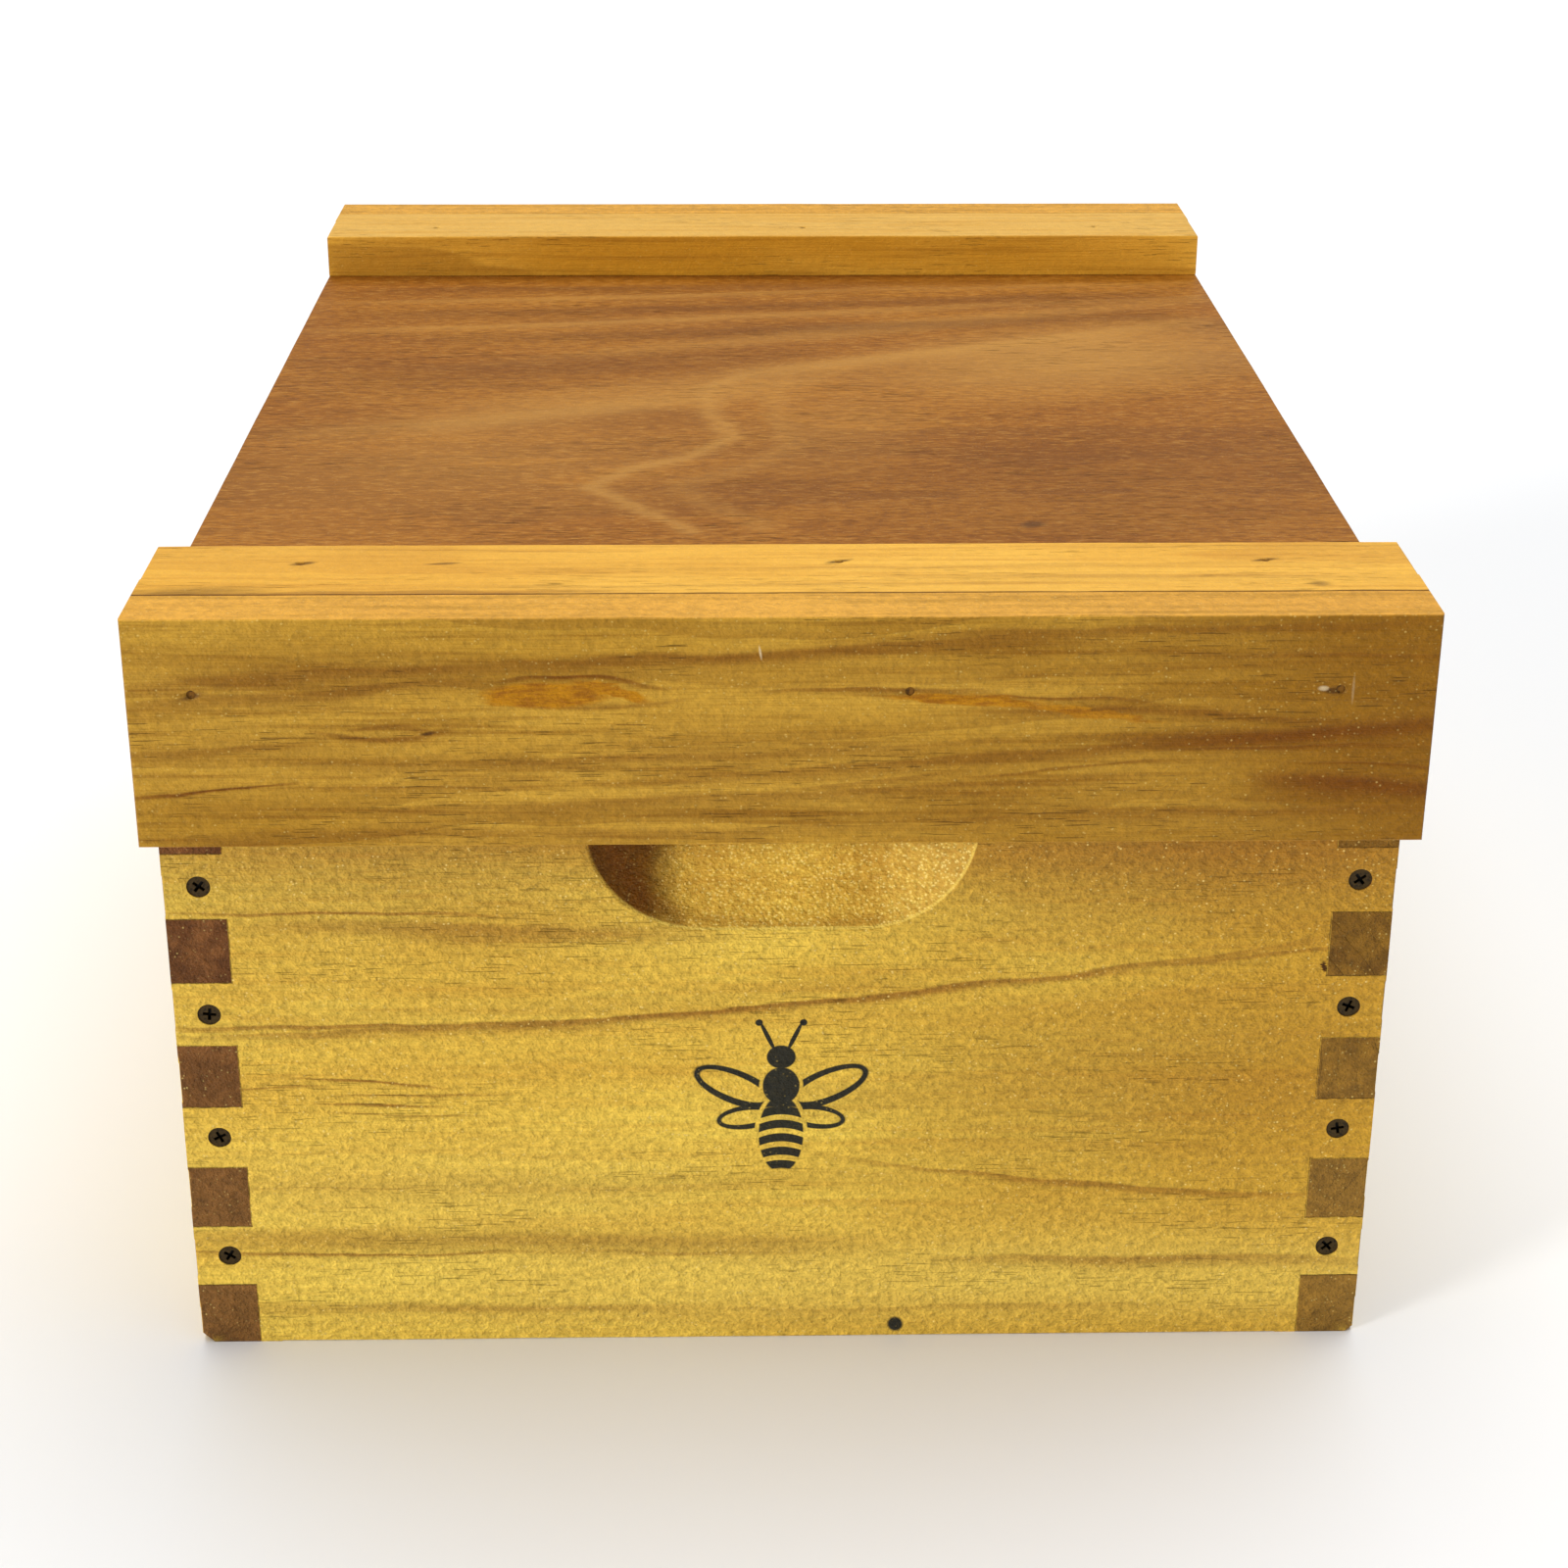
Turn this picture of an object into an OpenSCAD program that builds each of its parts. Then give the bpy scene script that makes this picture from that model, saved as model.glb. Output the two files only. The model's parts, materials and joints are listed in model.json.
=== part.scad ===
// Ten-frame Langstroth hive box with a cleated flat lid and ten hanging frames.
// Millimetres. +Z is up, the front handhold faces -Y, and the origin is the
// centre of the footprint on the ground.

/* [Box] */
// Outside width of the box, across the frames
box_w = 413; // [413:1:420]
// Outside length of the box, along the frames
box_l = 505; // [505:1:508]
// Height of the box
box_h = 244; // [244:1:250]
// Thickness of the four box boards
board_t = 20.6; // [20:0.1:21]
// Number of finger-joint steps up each corner
finger_count = 10; // [10:2:12]
// Depth of the ledge that the frames hang on, below the box's top
rest_depth = 15.9; // [15.9:0.1:17]
// Width of the ledge that the frames hang on
rest_w = 11; // [10.5:0.1:11.5]

/* [Handholds] */
// Length of the straight middle of a handhold
grip_straight = 54; // [40:1:70]
// Radius of a handhold's round ends at the board's face
grip_r = 39; // [35:1:40]
// Depth of a handhold
grip_depth = 12; // [8:0.5:13]
// Height of a handhold's flat top edge
grip_top_z = 204; // [200:1:206]

/* [Lid] */
// Width of the lid
lid_w = 416; // [415:1:422]
// Thickness of the lid's boards at the front and rear
rim_t = 20.6; // [19:0.1:21]
// Height of the lid's boards at the front and rear
rim_h = 79.5; // [76:0.5:82]
// Gap between the box and each of those boards
rim_gap = 1; // [0.5:0.1:2]
// Thickness of the plywood panel
panel_t = 12; // [11:0.5:13]
// Height of the rails between the panel and the box
rail_h = 12.5; // [10:0.5:13]
// Width of those rails
rail_w = 20; // [16:1:21]
// Width of the cleats on top of the panel
batten_w = 45; // [40:1:50]
// Height of the cleats
batten_h = 19.5; // [18:0.5:22]

/* [Frames] */
// Number of frames
frame_count = 10; // [8:1:10]
// Distance between the middles of two frames
frame_pitch = 35; // [35:0.1:37]
// Length of a top bar, over its two lugs
top_bar_l = 482; // [480:1:483]
// Width of a top bar
top_bar_w = 27; // [25:1:28]
// Thickness of a top bar
top_bar_t = 19; // [17:0.5:19]
// Thickness of the lugs that rest on the ledges
lug_t = 9.5; // [8:0.5:10]
// Distance over the outsides of a frame's two end bars
frame_l = 448; // [446:1:450]
// Height of a frame
frame_h = 232; // [230:1:233]
// Width of an end bar where neighbours meet
end_bar_w = 34.6; // [33:0.1:34.8]
// Width of an end bar's lower part
end_bar_foot_w = 28; // [24:1:30]
// Thickness of an end bar
end_bar_t = 9.5; // [8:0.5:10]
// Width of a bottom bar
bottom_bar_w = 19; // [16:1:22]
// Thickness of a bottom bar
bottom_bar_t = 9.5; // [8:0.5:10]
// Thickness of the plastic foundation sheet
sheet_t = 3; // [2:0.5:4]

/* [Fasteners] */
// Diameter of a box screw's head
screw_head_d = 8; // [6:0.5:9]
// Diameter of a box screw's shank
screw_d = 4; // [3:0.5:4.5]
// Length of a box screw
screw_l = 45; // [38:1:50]
// Distance from the box's corner to a screw
screw_inset = 12; // [11:0.5:13]
// Diameter of a nail's head
nail_head_d = 3; // [2.5:0.1:4]
// Diameter of a nail's shank
nail_d = 1.8; // [1.4:0.1:2.2]
// How far the lid's nails reach into the second board
nail_bite = 10; // [6:0.5:10]

/* [Hidden] */
$fn = 48;
cut = 0.5;                                    // how far a cutter runs past a face
finger_h = box_h / finger_count;
rest_z = box_h - rest_depth;

rail_z = box_h;
panel_z = rail_z + rail_h;
batten_z = panel_z + panel_t;
lid_top_z = batten_z + batten_h;
rim_z = lid_top_z - rim_h;
rim_back_y = box_l / 2 + rim_gap;             // the faces of the rim boards that meet the box
rim_front_y = rim_back_y + rim_t;

grip_ball_r = (pow(grip_r, 2) + pow(grip_depth, 2)) / (2 * grip_depth);

frame_top_z = rest_z + lug_t;
frame_z = frame_top_z - frame_h;
end_bar_prong = 6;                            // width of each prong beside the top bar's neck
neck_w = end_bar_w - 2 * end_bar_prong;
end_bar_upper = 90;                           // height of an end bar's full-width part
end_bar_slope = 12;                           // height over which it narrows
groove_depth = 6;                             // how far the sheet enters the top bar
foot_groove = 3;                              // how far the sheet enters the bottom bar
sheet_gap = 1.5;                              // between the sheet's ends and the end bars
groove_w = sheet_t + 0.4;
sheet_play = 0.2;                             // free height above and below the sheet

screw_sink = 0.4;                             // how far a screw's head lies below the face
screw_edge_h = 0.5;                           // straight edge of the head
screw_cone_h = 4;                             // from the head's top to the shank
screw_tip_h = 6;
drive_w = 1.1;                                // slot width of the cross recess
drive_l = 4.6;
drive_depth = 2;
drive_turn = 37;                              // each screw is driven home to its own turn
nail_sink = 0.5;
nail_head_h = 0.9;
nail_tip_h = 3;

batten_nail_x = [-158, 19, 160];
batten_nail_y = box_l / 2 - 27;
rim_nail_x = [-187, 40, 177];
rim_nail_z = panel_z + panel_t / 2;
side_rail_nail_y = [-190, -64, 64, 190];
end_rail_nail_x = [-120, 0, 120];
batten_nail_l = batten_h + nail_bite - nail_sink;
rim_nail_l = rim_t + nail_bite - nail_sink;
rail_nail_l = rail_h + nail_bite - nail_sink;

FRAME_PARTS = ["top_bar", "end_bars", "bottom_bar", "foundation"];
function frame_name(i) = str("frame_", i < 10 ? "0" : "", i);
BOX_NODES = [
    "front_board", "rear_board", "left_board", "right_board",
    "front_screws", "rear_screws", "left_screws", "right_screws"
];
LID_NODES = [
    "lid_panel", "lid_front_rim", "lid_rear_rim", "lid_front_batten", "lid_rear_batten",
    "lid_left_rail", "lid_right_rail", "lid_front_rail", "lid_rear_rail",
    "lid_batten_nails", "lid_rim_nails", "lid_rail_nails"
];
FRAME_NODES = [for (i = [1:frame_count]) for (p = FRAME_PARTS) str(frame_name(i), "_", p)];

// ---------- shared shapes ----------

// A block centred on X and Y that stands on z = 0.
module slab(w, l, h) {
    translate([-w / 2, -l / 2, 0])
        cube([w, l, h]);
}

// A countersunk wood screw with its head at z = 0 and its tip down -Z.
module screw_body() {
    rotate_extrude()
        polygon([
            [0, 0], [screw_head_d / 2, 0], [screw_head_d / 2, -screw_edge_h],
            [screw_d / 2, -screw_cone_h], [screw_d / 2, screw_tip_h - screw_l], [0, -screw_l]
        ]);
}

module cross_recess() {
    for (a = [0, 90])
        rotate([0, 0, a])
            translate([-drive_l / 2, -drive_w / 2, -drive_depth])
                cube([drive_l, drive_w, drive_depth + cut]);
}

// Turns children that point down -Z so that they point in through one face of the box.
module driven_from(side) {
    turn = side == "front" ? 0 : side == "right" ? 90 : side == "rear" ? 180 : 270;
    rotate([0, 0, turn])
        rotate([90, 0, 0])
            children();
}

// The cross recess takes its turn from at_screws().
module screw() {
    difference() {
        screw_body();
        rotate([0, 0, $turn])
            cross_recess();
    }
}

module nail(length) {
    rotate_extrude()
        polygon([
            [0, 0], [nail_head_d / 2, 0], [nail_head_d / 2, -nail_head_h],
            [nail_d / 2, -nail_head_h], [nail_d / 2, nail_tip_h - length], [0, -length]
        ]);
}

// The short open hole above a fastener's sunk head.
module mouth(d, sink) {
    cylinder(d = d, h = sink + cut);
}

module screw_hole() {
    screw_body();
    mouth(screw_head_d, screw_sink);
}

module nail_hole(length) {
    nail(length);
    mouth(nail_head_d, nail_sink);
}

// ---------- box ----------

// Fingers counted from the ground: even ones belong to the side boards.
function is_side_finger(i) = i % 2 == 0;

// Places children at each screw of one face. Every face is screwed through its own
// board's fingers, so screws from two faces never meet in a corner.
module at_screws(side) {
    along_front = side == "front" || side == "rear";
    half_w = (along_front ? box_w : box_l) / 2;
    face = (along_front ? box_l : box_w) / 2;
    for (i = [0:finger_count - 1])
        if (is_side_finger(i) != along_front)
            for (s = [-1, 1])
                let ($turn = (2 * i + s + 3) * drive_turn)
                    driven_from(side)
                        translate([s * (half_w - screw_inset), (i + 0.5) * finger_h, face - screw_sink])
                            children();
}

module handhold() {
    intersection() {
        translate([0, 0, grip_top_z - 2 * grip_r])
            slab(4 * grip_r + grip_straight, box_l * 2, 2 * grip_r);
        union() {
            for (s = [-1, 1])
                translate([s * grip_straight / 2, grip_depth - grip_ball_r, grip_top_z])
                    sphere(r = grip_ball_r, $fn = 96);
            translate([-grip_straight / 2, grip_depth - grip_ball_r, grip_top_z])
                rotate([0, 90, 0])
                    cylinder(r = grip_ball_r, h = grip_straight, $fn = 96);
        }
    }
}

// Cuts one end of a board away between two heights. half_l is half the board's length.
module notch(s, half_l, z, h, depth) {
    translate([s > 0 ? half_l - depth : -half_l - cut, -cut, z])
        cube([depth + cut, board_t + 2 * cut, h]);
}

// The front board before it is placed: its outer face is at y = 0, its body at y > 0.
module end_board_blank() {
    difference() {
        translate([-box_w / 2, 0, 0])
            cube([box_w, board_t, box_h]);
        for (i = [0:finger_count - 1])
            if (is_side_finger(i))
                for (s = [-1, 1])
                    notch(s, box_w / 2, i * finger_h - (i == 0 ? cut : 0),
                          finger_h + (i == 0 ? cut : 0), board_t);
        translate([-box_w / 2 - cut, board_t - rest_w, rest_z])
            cube([box_w + 2 * cut, rest_w + cut, rest_depth + cut]);
        handhold();
    }
}

module end_board(side) {
    difference() {
        rotate([0, 0, side == "front" ? 0 : 180])
            translate([0, -box_l / 2, 0])
                end_board_blank();
        at_screws(side)
            screw_hole();
        for (s = ["left", "right"])
            at_screws(s)
                screw_hole();
    }
}

// The right board before it is placed: its outer face is at y = 0, its body at y > 0.
module side_board_blank() {
    difference() {
        translate([-box_l / 2, 0, 0])
            cube([box_l, board_t, box_h]);
        for (i = [0:finger_count - 1])
            if (!is_side_finger(i))
                for (s = [-1, 1])
                    finger_notch(s, i);
        handhold();
    }
}

// The top notch leaves a tongue that closes the end of the frame ledge.
module finger_notch(s, i) {
    top = i == finger_count - 1;
    notch(s, box_l / 2, i * finger_h, top ? rest_z - i * finger_h : finger_h, board_t);
    if (top)
        notch(s, box_l / 2, rest_z, rest_depth + cut, board_t - rest_w);
}

module side_board(side) {
    difference() {
        rotate([0, 0, side == "right" ? 90 : 270])
            translate([0, -box_w / 2, 0])
                side_board_blank();
        at_screws(side)
            screw_hole();
        for (s = ["front", "rear"])
            at_screws(s)
                screw_hole();
    }
}

module front_board() {
    color("goldenrod") end_board("front");
}

module rear_board() {
    color("goldenrod") end_board("rear");
}

module left_board() {
    color("darkgoldenrod") side_board("left");
}

module right_board() {
    color("darkgoldenrod") side_board("right");
}

module face_screws(side) {
    color("#2b2724")
        at_screws(side)
            screw();
}

// ---------- lid ----------

module at_batten_nails() {
    for (s = [-1, 1])
        for (x = batten_nail_x)
            translate([x, s * batten_nail_y, lid_top_z - nail_sink])
                children();
}

module at_rim_nails() {
    for (a = [0, 180])
        rotate([0, 0, a])
            for (x = rim_nail_x)
                translate([x, -rim_front_y + nail_sink, rim_nail_z])
                    rotate([90, 0, 0])
                        children();
}

// Rail nails are driven up through the rails into the panel.
module at_rail_nails() {
    for (s = [-1, 1]) {
        for (y = side_rail_nail_y)
            translate([s * (lid_w - rail_w) / 2, y, rail_z + nail_sink])
                rotate([180, 0, 0])
                    children();
        for (x = end_rail_nail_x)
            translate([x, s * (rim_back_y - rail_w / 2), rail_z + nail_sink])
                rotate([180, 0, 0])
                    children();
    }
}

module lid_holes() {
    at_batten_nails()
        nail_hole(batten_nail_l);
    at_rim_nails()
        nail_hole(rim_nail_l);
    at_rail_nails()
        nail_hole(rail_nail_l);
}

module lid_panel() {
    color("sienna")
        difference() {
            translate([0, 0, panel_z])
                slab(lid_w, 2 * rim_back_y, panel_t);
            lid_holes();
        }
}

module lid_rim(s) {
    color("goldenrod")
        difference() {
            translate([0, s * (rim_back_y + rim_t / 2), rim_z])
                slab(lid_w, rim_t, rim_h);
            at_rim_nails()
                nail_hole(rim_nail_l);
        }
}

module lid_batten(s) {
    color("gold")
        difference() {
            translate([0, s * (rim_back_y - batten_w / 2), batten_z])
                slab(lid_w, batten_w, batten_h);
            at_batten_nails()
                nail_hole(batten_nail_l);
        }
}

module lid_side_rail(s) {
    color("tan")
        difference() {
            translate([s * (lid_w - rail_w) / 2, 0, rail_z])
                slab(rail_w, 2 * rim_back_y, rail_h);
            at_rail_nails()
                nail_hole(rail_nail_l);
        }
}

module lid_end_rail(s) {
    color("tan")
        difference() {
            translate([0, s * (rim_back_y - rail_w / 2), rail_z])
                slab(lid_w - 2 * rail_w, rail_w, rail_h);
            at_rail_nails()
                nail_hole(rail_nail_l);
        }
}

module lid_batten_nails() {
    color("#3a3128")
        at_batten_nails()
            nail(batten_nail_l);
}

module lid_rim_nails() {
    color("#3a3128")
        at_rim_nails()
            nail(rim_nail_l);
}

module lid_rail_nails() {
    color("#3a3128")
        at_rail_nails()
            nail(rail_nail_l);
}

// ---------- frames ----------

module at_frame(i) {
    translate([(i - (frame_count + 1) / 2) * frame_pitch, 0, 0])
        children();
}

// The top bar: full width between the end bars, a neck through each end bar's
// fork, and thin lugs that rest on the ledges. A groove holds the sheet.
module top_bar() {
    full_l = frame_l - 2 * end_bar_t;
    difference() {
        union() {
            translate([0, 0, frame_top_z - top_bar_t])
                slab(top_bar_w, full_l, top_bar_t);
            translate([0, 0, frame_top_z - top_bar_t])
                slab(neck_w, frame_l, top_bar_t);
            translate([0, 0, frame_top_z - lug_t])
                slab(neck_w, top_bar_l, lug_t);
        }
        translate([0, 0, frame_top_z - top_bar_t - cut])
            slab(groove_w, full_l, groove_depth + cut);
    }
}

// An end bar's outline, seen along the frame: wide shoulders above, a narrower
// foot below, a fork for the top bar and a notch for the bottom bar.
module end_bar_outline() {
    shoulder_z = frame_top_z - end_bar_upper;
    difference() {
        polygon([
            [-end_bar_w / 2, frame_top_z], [-end_bar_w / 2, shoulder_z],
            [-end_bar_foot_w / 2, shoulder_z - end_bar_slope], [-end_bar_foot_w / 2, frame_z],
            [end_bar_foot_w / 2, frame_z], [end_bar_foot_w / 2, shoulder_z - end_bar_slope],
            [end_bar_w / 2, shoulder_z], [end_bar_w / 2, frame_top_z]
        ]);
        translate([-neck_w / 2, frame_top_z - top_bar_t])
            square([neck_w, top_bar_t + cut]);
        translate([-bottom_bar_w / 2, frame_z - cut])
            square([bottom_bar_w, bottom_bar_t + cut]);
    }
}

module end_bars() {
    for (s = [-1, 1])
        translate([0, s * (frame_l - end_bar_t) / 2 + end_bar_t / 2, 0])
            rotate([90, 0, 0])
                linear_extrude(end_bar_t)
                    end_bar_outline();
}

module bottom_bar() {
    difference() {
        translate([0, 0, frame_z])
            slab(bottom_bar_w, frame_l, bottom_bar_t);
        translate([0, 0, frame_z + bottom_bar_t - foot_groove])
            slab(groove_w, frame_l - 2 * end_bar_t, foot_groove + cut);
    }
}

module foundation() {
    low = frame_z + bottom_bar_t - foot_groove + sheet_play;
    high = frame_top_z - top_bar_t + groove_depth - sheet_play;
    translate([0, 0, low])
        slab(sheet_t, frame_l - 2 * end_bar_t - 2 * sheet_gap, high - low);
}

module frame_part(i, part) {
    at_frame(i) {
        if (part == "top_bar") color("burlywood") top_bar();
        if (part == "end_bars") color("tan") end_bars();
        if (part == "bottom_bar") color("burlywood") bottom_bar();
        if (part == "foundation") color("#2a2a2c") foundation();
    }
}

// ---------- nodes ----------

front_board();
rear_board();
left_board();
right_board();
face_screws("front");  // front_screws
face_screws("rear");  // rear_screws
face_screws("left");  // left_screws
face_screws("right");  // right_screws
lid_panel();
lid_rim(-1);  // lid_front_rim
lid_rim(1);  // lid_rear_rim
lid_batten(-1);  // lid_front_batten
lid_batten(1);  // lid_rear_batten
lid_side_rail(-1);  // lid_left_rail
lid_side_rail(1);  // lid_right_rail
lid_end_rail(-1);  // lid_front_rail
lid_end_rail(1);  // lid_rear_rail
lid_batten_nails();
lid_rim_nails();
lid_rail_nails();
for (i = [1:frame_count])
    for (part = FRAME_PARTS)
        frame_part(i, part);
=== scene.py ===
"""The looks of a ten-frame Langstroth hive box: wax-dipped pine, a plywood lid and hanging frames."""
import json
import math

import bmesh
import bpy
from mathutils import Matrix, Vector, noise


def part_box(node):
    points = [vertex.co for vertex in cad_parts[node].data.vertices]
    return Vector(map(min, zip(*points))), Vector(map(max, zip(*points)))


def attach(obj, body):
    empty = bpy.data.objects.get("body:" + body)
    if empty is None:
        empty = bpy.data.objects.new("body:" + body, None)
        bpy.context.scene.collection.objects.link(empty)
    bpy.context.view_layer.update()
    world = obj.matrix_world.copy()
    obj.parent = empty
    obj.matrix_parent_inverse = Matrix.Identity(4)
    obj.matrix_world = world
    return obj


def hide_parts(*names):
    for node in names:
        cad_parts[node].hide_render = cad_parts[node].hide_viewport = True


MM = 0.001
NOISE_SEED = 5           # a fixed seed, so that each run bends the faces in the same way
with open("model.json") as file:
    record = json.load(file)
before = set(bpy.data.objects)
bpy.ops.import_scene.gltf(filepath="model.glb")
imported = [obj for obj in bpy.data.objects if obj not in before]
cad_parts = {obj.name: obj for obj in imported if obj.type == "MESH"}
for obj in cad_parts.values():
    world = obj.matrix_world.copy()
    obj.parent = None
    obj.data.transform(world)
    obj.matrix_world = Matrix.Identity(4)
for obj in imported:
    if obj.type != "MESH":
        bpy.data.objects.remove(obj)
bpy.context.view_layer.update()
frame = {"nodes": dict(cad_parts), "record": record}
NODES = frame["nodes"]
RECORD = frame["record"]
BODY_OF = {n: body for body, nodes in RECORD["behaviour"]["bodies"].items() for n in nodes}
SLOT_OF = {s["node"]: s["material_slot"] for s in RECORD["subparts"]}
FRAMES = sorted(b for b in RECORD["behaviour"]["bodies"] if b.startswith("frame_"))


# ---------- shader formulas ----------

def arithmetic(operation):
    """The two methods of Value for one operation, with the value on its left and on its right."""
    def left(self, other):
        return self.net.math(operation, self, other)

    def right(self, other):
        return self.net.math(operation, other, self)

    return left, right


class Value:
    """A shader output that takes arithmetic, so that a formula reads as one."""

    def __init__(self, net, socket):
        self.net = net
        self.socket = socket

    __add__, __radd__ = arithmetic("ADD")
    __sub__, __rsub__ = arithmetic("SUBTRACT")
    __mul__, __rmul__ = arithmetic("MULTIPLY")
    __truediv__, __rtruediv__ = arithmetic("DIVIDE")

    def __abs__(self):
        return self.net.math("ABSOLUTE", self)


class Net:
    """Adds nodes to one node tree. A value is a number or a Value."""

    def __init__(self, tree):
        self.tree = tree

    def add(self, kind, **settings):
        made = self.tree.nodes.new(kind)
        for key, setting in settings.items():
            setattr(made, key, setting)
        return made

    def put(self, value, socket):
        if isinstance(value, Value):
            self.tree.links.new(value.socket, socket)
        else:
            socket.default_value = value

    def math(self, operation, *values, clamp=False):
        made = self.add("ShaderNodeMath", operation=operation, use_clamp=clamp)
        for value, socket in zip(values, made.inputs):
            self.put(value, socket)
        return Value(self, made.outputs[0])

    def smooth(self, value, low, high):
        """0 below low, 1 above high, with a soft step between. low may be above high."""
        made = self.add("ShaderNodeMapRange", interpolation_type="SMOOTHSTEP")
        turned = low > high
        self.put(value, made.inputs["Value"])
        made.inputs["From Min"].default_value = min(low, high)
        made.inputs["From Max"].default_value = max(low, high)
        made.inputs["To Min"].default_value = 1.0 if turned else 0.0
        made.inputs["To Max"].default_value = 0.0 if turned else 1.0
        return Value(self, made.outputs["Result"])

    def vector(self, x, y, z):
        made = self.add("ShaderNodeCombineXYZ")
        for value, socket in zip((x, y, z), made.inputs):
            self.put(value, socket)
        return Value(self, made.outputs[0])

    def split(self, vector):
        made = self.add("ShaderNodeSeparateXYZ")
        self.put(vector, made.inputs[0])
        return [Value(self, s) for s in made.outputs]

    def noise(self, vector, scale=1.0, detail=2.0, roughness=0.5):
        made = self.add("ShaderNodeTexNoise")
        self.put(vector, made.inputs["Vector"])
        made.inputs["Scale"].default_value = scale
        made.inputs["Detail"].default_value = detail
        made.inputs["Roughness"].default_value = roughness
        return Value(self, made.outputs[0])

    def cells(self, vector):
        """How far a place is from the middle of its cell. Cells are one unit wide."""
        made = self.add("ShaderNodeTexVoronoi", feature="F1")
        self.put(vector, made.inputs["Vector"])
        made.inputs["Scale"].default_value = 1.0
        return Value(self, made.outputs["Distance"])

    def mix(self, factor, first, second, blend="MIX"):
        made = self.add("ShaderNodeMix", data_type="RGBA", blend_type=blend)
        self.put(factor, made.inputs[0])
        self.put(first, made.inputs[6])
        self.put(second, made.inputs[7])
        return Value(self, made.outputs[2])

    def greatest(self, values):
        total = values[0]
        for value in values[1:]:
            total = self.math("MAXIMUM", total, value)
        return total


def tone(code):
    """A linear colour from a "#rrggbb" display colour."""
    parts = [int(code[i:i + 2], 16) / 255 for i in (1, 3, 5)]
    linear = [c / 12.92 if c <= 0.04045 else ((c + 0.055) / 1.055) ** 2.4 for c in parts]
    return (*linear, 1.0)


def formula_group(name, inputs, build):
    """A node group of float inputs with one float output, worked out by build(net, *inputs)."""
    tree = bpy.data.node_groups.new(name, "ShaderNodeTree")
    for label in inputs:
        tree.interface.new_socket(label, in_out="INPUT", socket_type="NodeSocketFloat")
    tree.interface.new_socket("Mask", in_out="OUTPUT", socket_type="NodeSocketFloat")
    net = Net(tree)
    source = net.add("NodeGroupInput")
    sink = net.add("NodeGroupOutput")
    result = build(net, *[Value(net, source.outputs[label]) for label in inputs])
    tree.links.new(result.socket, sink.inputs["Mask"])
    return tree


def streak_formula(net, s, a, mid, half, level, slope, bow, above, below, strength):
    """A grain line that runs along s and fades out at both ends. It has its own softness above and below."""
    t = (s - mid) / half
    centre = level + slope * t + bow * t * t
    gap = a - centre
    is_above = net.math("MAXIMUM", gap * 1000, 0, clamp=True)
    width = is_above * (above - below) + below
    across = gap / width
    line = 1 / (1 + net.math("POWER", abs(across), 3.0))
    ends = net.math("POWER", net.math("SUBTRACT", 1, t * t, clamp=True), 0.6)
    return line * ends * strength


def spot_formula(net, s, a, mid, level, length, width, turn, edge, strength):
    """A soft-edged ellipse, turned by an angle in radians."""
    ds = s - mid
    da = a - level
    cosine = net.math("COSINE", turn)
    sine = net.math("SINE", turn)
    u = (ds * cosine + da * sine) / length
    v = (da * cosine - ds * sine) / width
    radius = net.math("SQRT", u * u + v * v)
    inside = net.math("SUBTRACT", 1 + edge / 2, radius) / edge
    return net.math("MULTIPLY", net.math("MINIMUM", inside, 1.0, clamp=True), strength)


def segment_formula(net, s, a, s0, a0, s1, a1, width, strength):
    """A soft line from one point to another."""
    ds = s1 - s0
    da = a1 - a0
    share = net.math("DIVIDE", (s - s0) * ds + (a - a0) * da, ds * ds + da * da, clamp=True)
    gap_s = s - s0 - share * ds
    gap_a = a - a0 - share * da
    gap = net.math("SQRT", gap_s * gap_s + gap_a * gap_a) / width
    return strength / (1 + net.math("POWER", gap, 3.0))


STREAK = formula_group(
    "Streak", ["s", "a", "mid", "half", "level", "slope", "bow", "above", "below", "strength"],
    streak_formula)
SPOT = formula_group(
    "Spot", ["s", "a", "mid", "level", "length", "width", "turn", "edge", "strength"], spot_formula)
SEGMENT = formula_group("Segment", ["s", "a", "s0", "a0", "s1", "a1", "width", "strength"], segment_formula)


def path(points, width, strength):
    """The marks of a bent line through several points."""
    return [(*first, *second, width, strength) for first, second in zip(points, points[1:])]


def masked(net, tree, s, a, marks):
    """The strongest of many marks, or 0.0 for none. A mark is a tuple of the group's inputs after s and a."""
    found = []
    for mark in marks:
        made = net.add("ShaderNodeGroup", node_tree=tree)
        for value, socket in zip((s, a, *mark), made.inputs):
            net.put(value, socket)
        found.append(Value(net, made.outputs[0]))
    return net.greatest(found) if found else 0.0


def new_material(name):
    """A material, with the net that adds its nodes, and its shader."""
    material = bpy.data.materials.new(name)
    material.use_nodes = True
    return material, Net(material.node_tree), material.node_tree.nodes["Principled BSDF"]


def finished_material(material):
    """What painting over a finished material takes: its net, its shader and its colour so far."""
    net = Net(material.node_tree)
    shader = material.node_tree.nodes["Principled BSDF"]
    return net, shader, Value(net, shader.inputs["Base Color"].links[0].from_socket)


def add_bump(net, shader, height, reach):
    """Relief in the material. reach is how far a height of 1 stands out, in millimetres."""
    bump = net.add("ShaderNodeBump")
    bump.inputs["Strength"].default_value = 1.0
    bump.inputs["Distance"].default_value = reach * MM
    net.put(height, bump.inputs["Height"])
    net.put(Value(net, bump.outputs[0]), shader.inputs["Normal"])


# ---------- wood ----------

AXES = "XYZ"
SCOOP_TOP = 204.0       # the level of the handholds' flat top edge
SCOOP_HALF = 72.0       # half of their length
WAX_SHEEN = 0.14        # specular level of waxed wood
WAX_RELIEF = 2.4
SEAM_TONE = "#3c220c"
INK_TONE = "#0d1a20"


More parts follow.
